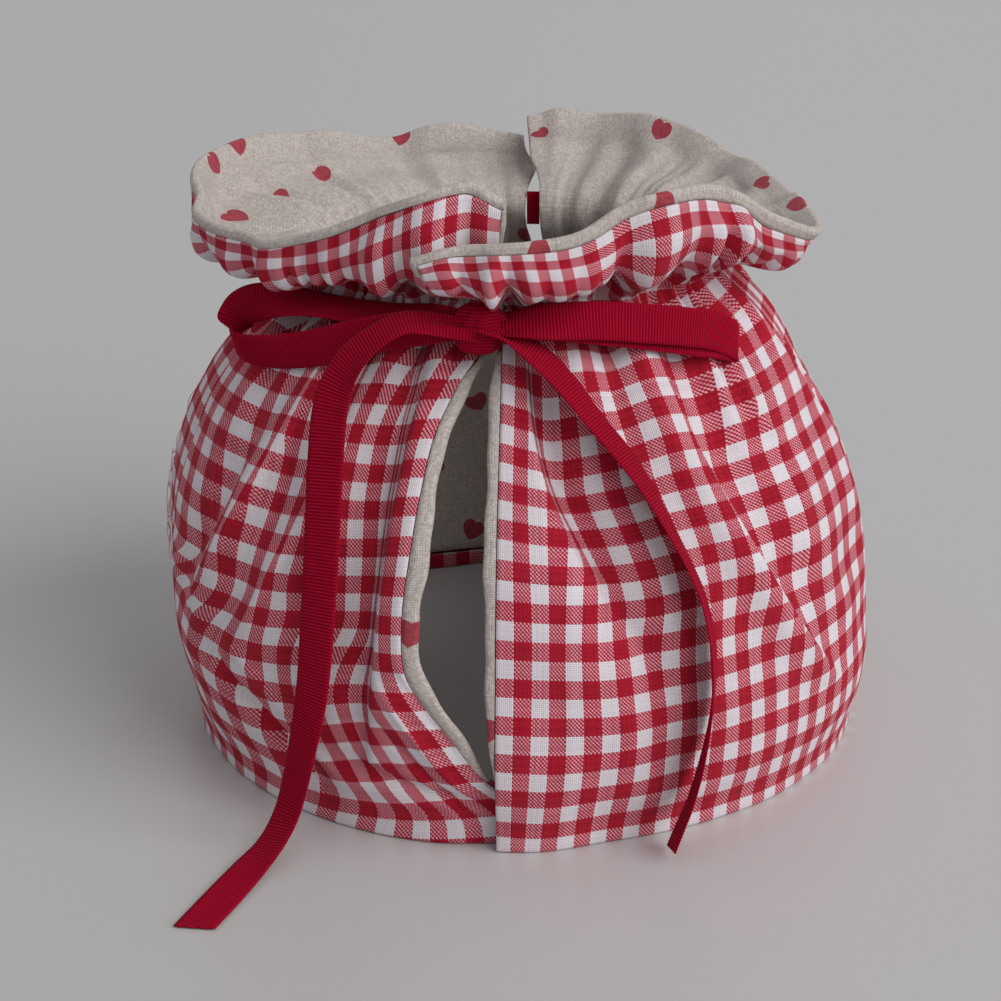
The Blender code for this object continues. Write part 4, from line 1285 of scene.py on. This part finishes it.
def gingham_material():
    """Cotton gingham: red and white threads in plain weave, so the mixed squares are a fine hatch."""
    graph = Material("gingham_cotton")
    across, up = graph.cloth()
    warp_at, weft_at, warp, weft, height = graph.weave(
        across, up, WARP_REPEAT / THREADS_IN_REPEAT, WEFT_REPEAT / THREADS_IN_REPEAT)
    half = THREADS_IN_REPEAT / 2.0
    first_red = round(FIRST_RED_WEFT * THREADS_IN_REPEAT / WEFT_REPEAT - half / 2.0)
    warp_in_repeat = graph.modulo(warp, THREADS_IN_REPEAT)
    weft_in_repeat = graph.modulo(graph.minus(weft, first_red), THREADS_IN_REPEAT)
    warp_red = graph.calc("GREATER_THAN", warp_in_repeat, half - 0.5)
    weft_red = graph.calc("LESS_THAN", weft_in_repeat, half - 0.5)
    # The threads' twist joins the floats into a slanting hatch.
    slant = graph.calc("COSINE", graph.times(graph.plus(warp_at, weft_at), math.pi))
    cross = graph.calc("COSINE", graph.times(graph.minus(warp_at, weft_at), math.pi))
    float_at = graph.minus(graph.times(cross, 0.5 - HATCH_SLANT), graph.times(slant, 0.5 + HATCH_SLANT))
    warp_top = graph.step(float_at, -HATCH_SOFT, HATCH_SOFT)
    red = graph.plus(graph.times(warp_red, warp_top), graph.times(weft_red, graph.minus(1.0, warp_top)))
    mixed = graph.calc("ABSOLUTE", graph.minus(warp_red, weft_red))
    mottle = graph.noise(graph.object_place(), *COTTON_MOTTLE)
    own = graph.mix(warp_top, graph.chance(weft, WEFT_CHANCE), graph.chance(warp, WARP_CHANCE))
    own_share, mottle_share = COTTON_SHARES
    vary = graph.plus(graph.times(own, own_share), graph.times(mottle, mottle_share))
    share = graph.step(vary, *COTTON_RANGE)
    red_thread = graph.mix(share, *RED_THREAD)
    white_thread = graph.mix(share, *WHITE_THREAD)
    tinted_thread = graph.mix(share, *TINTED_THREAD)
    colour = graph.mix(red, graph.mix(mixed, white_thread, tinted_thread), red_thread)
    # Painted shade: darker in the gaps between the threads, a little lighter on their crowns.
    graph.shade(colour, graph.between(height, *COTTON_THREAD_PAINTED_SHADE))
    graph.rough(height, mottle, *COTTON_BUMP)
    return graph.finish(*COTTON_FINISH)


def heart_group():
    """A node group: 1 where a place is inside a heart. Its inputs are the heart's place, turn and size."""
    tree = bpy.data.node_groups.new("Heart", "ShaderNodeTree")
    for name in ("Across", "Up", "Heart Across", "Heart Up", "Turn", "Size"):
        tree.interface.new_socket(name, in_out="INPUT", socket_type="NodeSocketFloat")
    tree.interface.new_socket("Inside", in_out="OUTPUT", socket_type="NodeSocketFloat")
    across, up, heart_across, heart_up, turn, size = list(tree.nodes.new("NodeGroupInput").outputs)[:6]
    graph = Nodes(tree)
    away = graph.over(graph.minus(across, heart_across), size)
    above = graph.over(graph.minus(up, heart_up), size)
    cosine, sine = graph.calc("COSINE", turn), graph.calc("SINE", turn)
    x = graph.plus(graph.times(away, cosine), graph.times(above, sine))
    y = graph.plus(graph.minus(graph.times(above, cosine), graph.times(away, sine)), HEART_DROP)
    xx, yy = graph.times(x, x), graph.times(y, y)
    ring = graph.minus(graph.plus(xx, yy), 1.0)
    # The heart curve: x squared times y cubed is more than the cube of x squared plus y squared less 1.
    cube = graph.times(graph.times(ring, ring), ring)
    value = graph.minus(graph.times(xx, graph.times(yy, y)), cube)
    near = graph.calc("LESS_THAN", graph.plus(xx, yy), HEART_NEAR)
    inside = graph.times(graph.calc("GREATER_THAN", value, 0.0), near)
    tree.links.new(inside, tree.nodes.new("NodeGroupOutput").inputs["Inside"])
    return tree


def lining_material(half_name, group):
    """Unbleached linen printed with small hearts."""
    graph = Material("heart_linen_" + half_name)
    across, up = graph.cloth()
    _, _, warp, weft, height = graph.weave(across, up, LINEN_PITCH, LINEN_PITCH)
    places = (graph.join(graph.times(across, x_rate), graph.times(up, y_rate)) for x_rate, y_rate in SLUB_RATES)
    slub, cross_slub = (graph.noise(place, *SLUB_NOISE) for place in places)
    own_share, slub_share, cross_share = LINEN_SHARES
    slubs = graph.plus(graph.times(slub, slub_share), graph.times(cross_slub, cross_share))
    vary = graph.plus(graph.times(graph.chance(warp, weft), own_share), slubs)
    linen = graph.mix(graph.step(vary, *LINEN_RANGE), *LINEN)

    def heart(x, y, turn):
        node = graph.add("Group", node_tree=group)
        for socket, value in zip(node.inputs, (across, up, x, y, turn, HEART_SIZE)):
            graph.put(socket, value)
        return node.outputs[0]

    # Hearts below the neck stand on a lattice whose every other row is shifted by half a step.
    row = graph.floor(graph.over(up, HEART_ROW))
    shift = graph.times(graph.modulo(row, 2.0), 0.5)
    cell = graph.floor(graph.minus(graph.over(across, HEART_STEP), shift))
    middle = graph.times(graph.plus(graph.plus(cell, shift), 0.5), HEART_STEP)
    middle = graph.plus(middle, graph.times(graph.minus(graph.chance(cell, row), 0.5), HEART_STRAYS))
    level = graph.times(graph.plus(row, 0.5), HEART_ROW)
    turn = graph.times(graph.minus(graph.chance(row, cell), 0.5), HEART_TURNS)
    hearts = graph.times(heart(middle, level, turn), graph.calc("LESS_THAN", up, HEARTS_PLACED_ABOVE))
    for name, *place in HEARTS:
        if name == half_name:
            hearts = graph.calc("MAXIMUM", hearts, heart(*place))
    print_share = graph.step(graph.noise(graph.object_place(), HEART_MOTTLE), *HEART_MOTTLE_RANGE)
    print_red = graph.mix(print_share, *HEART_RED)
    colour = graph.mix(graph.times(hearts, HEART_COVER), linen, print_red)
    # Painted shade: darker in the gaps between the threads, a little lighter on their crowns.
    graph.shade(colour, graph.between(height, *LINEN_THREAD_PAINTED_SHADE))
    graph.rough(height, slub, *LINEN_BUMP)
    return graph.finish(*LINEN_FINISH)


def ribbon_material():
    """Deep red grosgrain. Its ribs are in the mesh; this adds the fine warp over them, and painted shade that
    darkens the valleys between the ribs and lightens their crowns.
    """
    graph = Material("grosgrain")
    across, along = graph.cloth()
    thread = graph.floor(graph.times(across, RIBBON_THREADS))
    own = graph.chance(thread, graph.floor(graph.over(along, RIB)))
    # Painted shade: the colour follows the ribs, darker in their valleys and lighter on their crowns, with each
    # thread's random tone added.
    crown = graph.calc("COSINE", graph.times(along, math.tau / RIB))
    share = graph.plus(graph.between(crown, *RIBBON_RIB_PAINTED_SHADE), graph.times(own, RIBBON_OWN))
    graph.paint(graph.mix(graph.step(share, 0.0, 1.0), *RIBBON_RED))
    graph.bump(own, *RIBBON_BUMP)
    return graph.finish(*RIBBON_FINISH)


def thread_material():
    """Pink cotton thread, faintly mottled."""
    graph = Material("loose_cotton")
    share = graph.noise(graph.object_place(), LOOSE_MOTTLE)
    graph.paint(graph.mix(share, TINTED_THREAD[1], WHITE_THREAD[0]))
    return graph.finish(*COTTON_FINISH)


def floor_material():
    """A pale satin board, with painted shade that darkens it towards the left."""
    graph = Material("floor_board")
    x, y, _ = graph.add("SeparateXYZ", graph.object_place()).outputs
    reach = graph.calc("MAXIMUM", graph.plus(y, FLOOR_PUSHED_BACK + FLOOR_SHADE_FANS_FROM), FLOOR_LEAST_REACH)
    # Painted shade: the board's colour darkens towards the left, where the light falls off.
    graph.paint(graph.mix(graph.step(graph.over(x, reach), *FLOOR_PAINTED_SHADE_RAMP), *FLOOR_SHADED_TO_LIT))
    return graph.finish(*FLOOR_FINISH)


# ---------------------------------------------------------------- the scene
def build_cosy():
    gingham = gingham_material()
    group = heart_group()
    ribbon = ribbon_material()
    for half in (RIGHT, LEFT):
        outer = outer_half(half, gingham)
        ride_for(outer, "gingham_" + half.name)
        inner = inner_half(half, lining_material(half.name, group))
        ride_for(inner, "lining_" + half.name)
    strips = (
        ("bow_loop_right", LOOP_RIGHT, dict(starts_at_knot=True, ends_at_knot=True), "folded"),
        ("bow_loop_left", LOOP_LEFT, dict(starts_at_knot=True, ends_at_knot=True), "folded"),
        ("bow_tail_left", TAIL_LEFT, dict(starts_at_knot=True, slant=CUT_SLANT), "hung"),
        ("bow_tail_right", TAIL_RIGHT, dict(starts_at_knot=True), "hung"),
        ("bow_lead", SLIT_LEAD, dict(), "stretched"),
    )
    for name, route, looks, held in strips:
        strip = ribbon_piece(name, route, ribbon, **looks)
        ride_for(strip, "ribbon_bow")
        length = float(ribbon_line(route, RIB)[2][-1]) * MM
    knot = knot_piece("bow_knot", ribbon)
    ride_for(knot, "ribbon_bow")
    back = ribbon_piece("back_ribbon", BACK_STRETCH, ribbon)
    ride_for(back, "ribbon_back")
    ride_for(loose_threads("loose_threads", LEFT, thread_material()), "gingham_left")


def ride_for(piece, node):
    """Carry a piece with the frame in place of the CAD node whose finish it gives."""
    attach(piece, "root")
    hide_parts(node)


def build_floor():
    bpy.ops.mesh.primitive_plane_add(size=FLOOR_SIZE, location=(0.0, FLOOR_PUSHED_BACK, 0.0))
    floor = bpy.context.object
    floor.name = "floor"
    floor.data.materials.append(floor_material())


def build_light():
    """One very large soft light from the upper right, and an even pale surround."""
    light = bpy.data.lights.new("window", "SUN")
    light.angle = math.radians(SUN_SPREAD)
    light.energy = SUN_STRENGTH
    light.color = SUN_COLOUR
    lamp = bpy.data.objects.new("window", light)
    lamp.rotation_euler = Vector(SUN_TOWARDS).to_track_quat("Z", "Y").to_euler()
    bpy.context.scene.collection.objects.link(lamp)
    world = bpy.data.worlds.new("studio")
    bpy.context.scene.world = world
    world.use_nodes = True
    background = world.node_tree.nodes["Background"]
    background.inputs["Color"].default_value = (*WORLD_COLOUR, 1.0)
    background.inputs["Strength"].default_value = WORLD_STRENGTH


def build_camera():
    lens = bpy.data.cameras.new("camera")
    lens.sensor_width = SENSOR
    lens.lens = CAMERA_PIXELS * SENSOR / PICTURE_PIXELS
    lens.shift_x = CAMERA_SHIFT
    lens.clip_start = CAMERA_NEAR
    camera = bpy.data.objects.new("camera", lens)
    camera.location = CAMERA_PLACE
    camera.rotation_euler = (math.radians(90.0 - CAMERA_DOWN), 0.0, 0.0)
    bpy.context.scene.collection.objects.link(camera)
    bpy.context.scene.camera = camera


def main():
    bpy.context.scene.view_settings.view_transform = "Standard"
    build_cosy()
    build_floor()
    build_light()
    build_camera()


main()
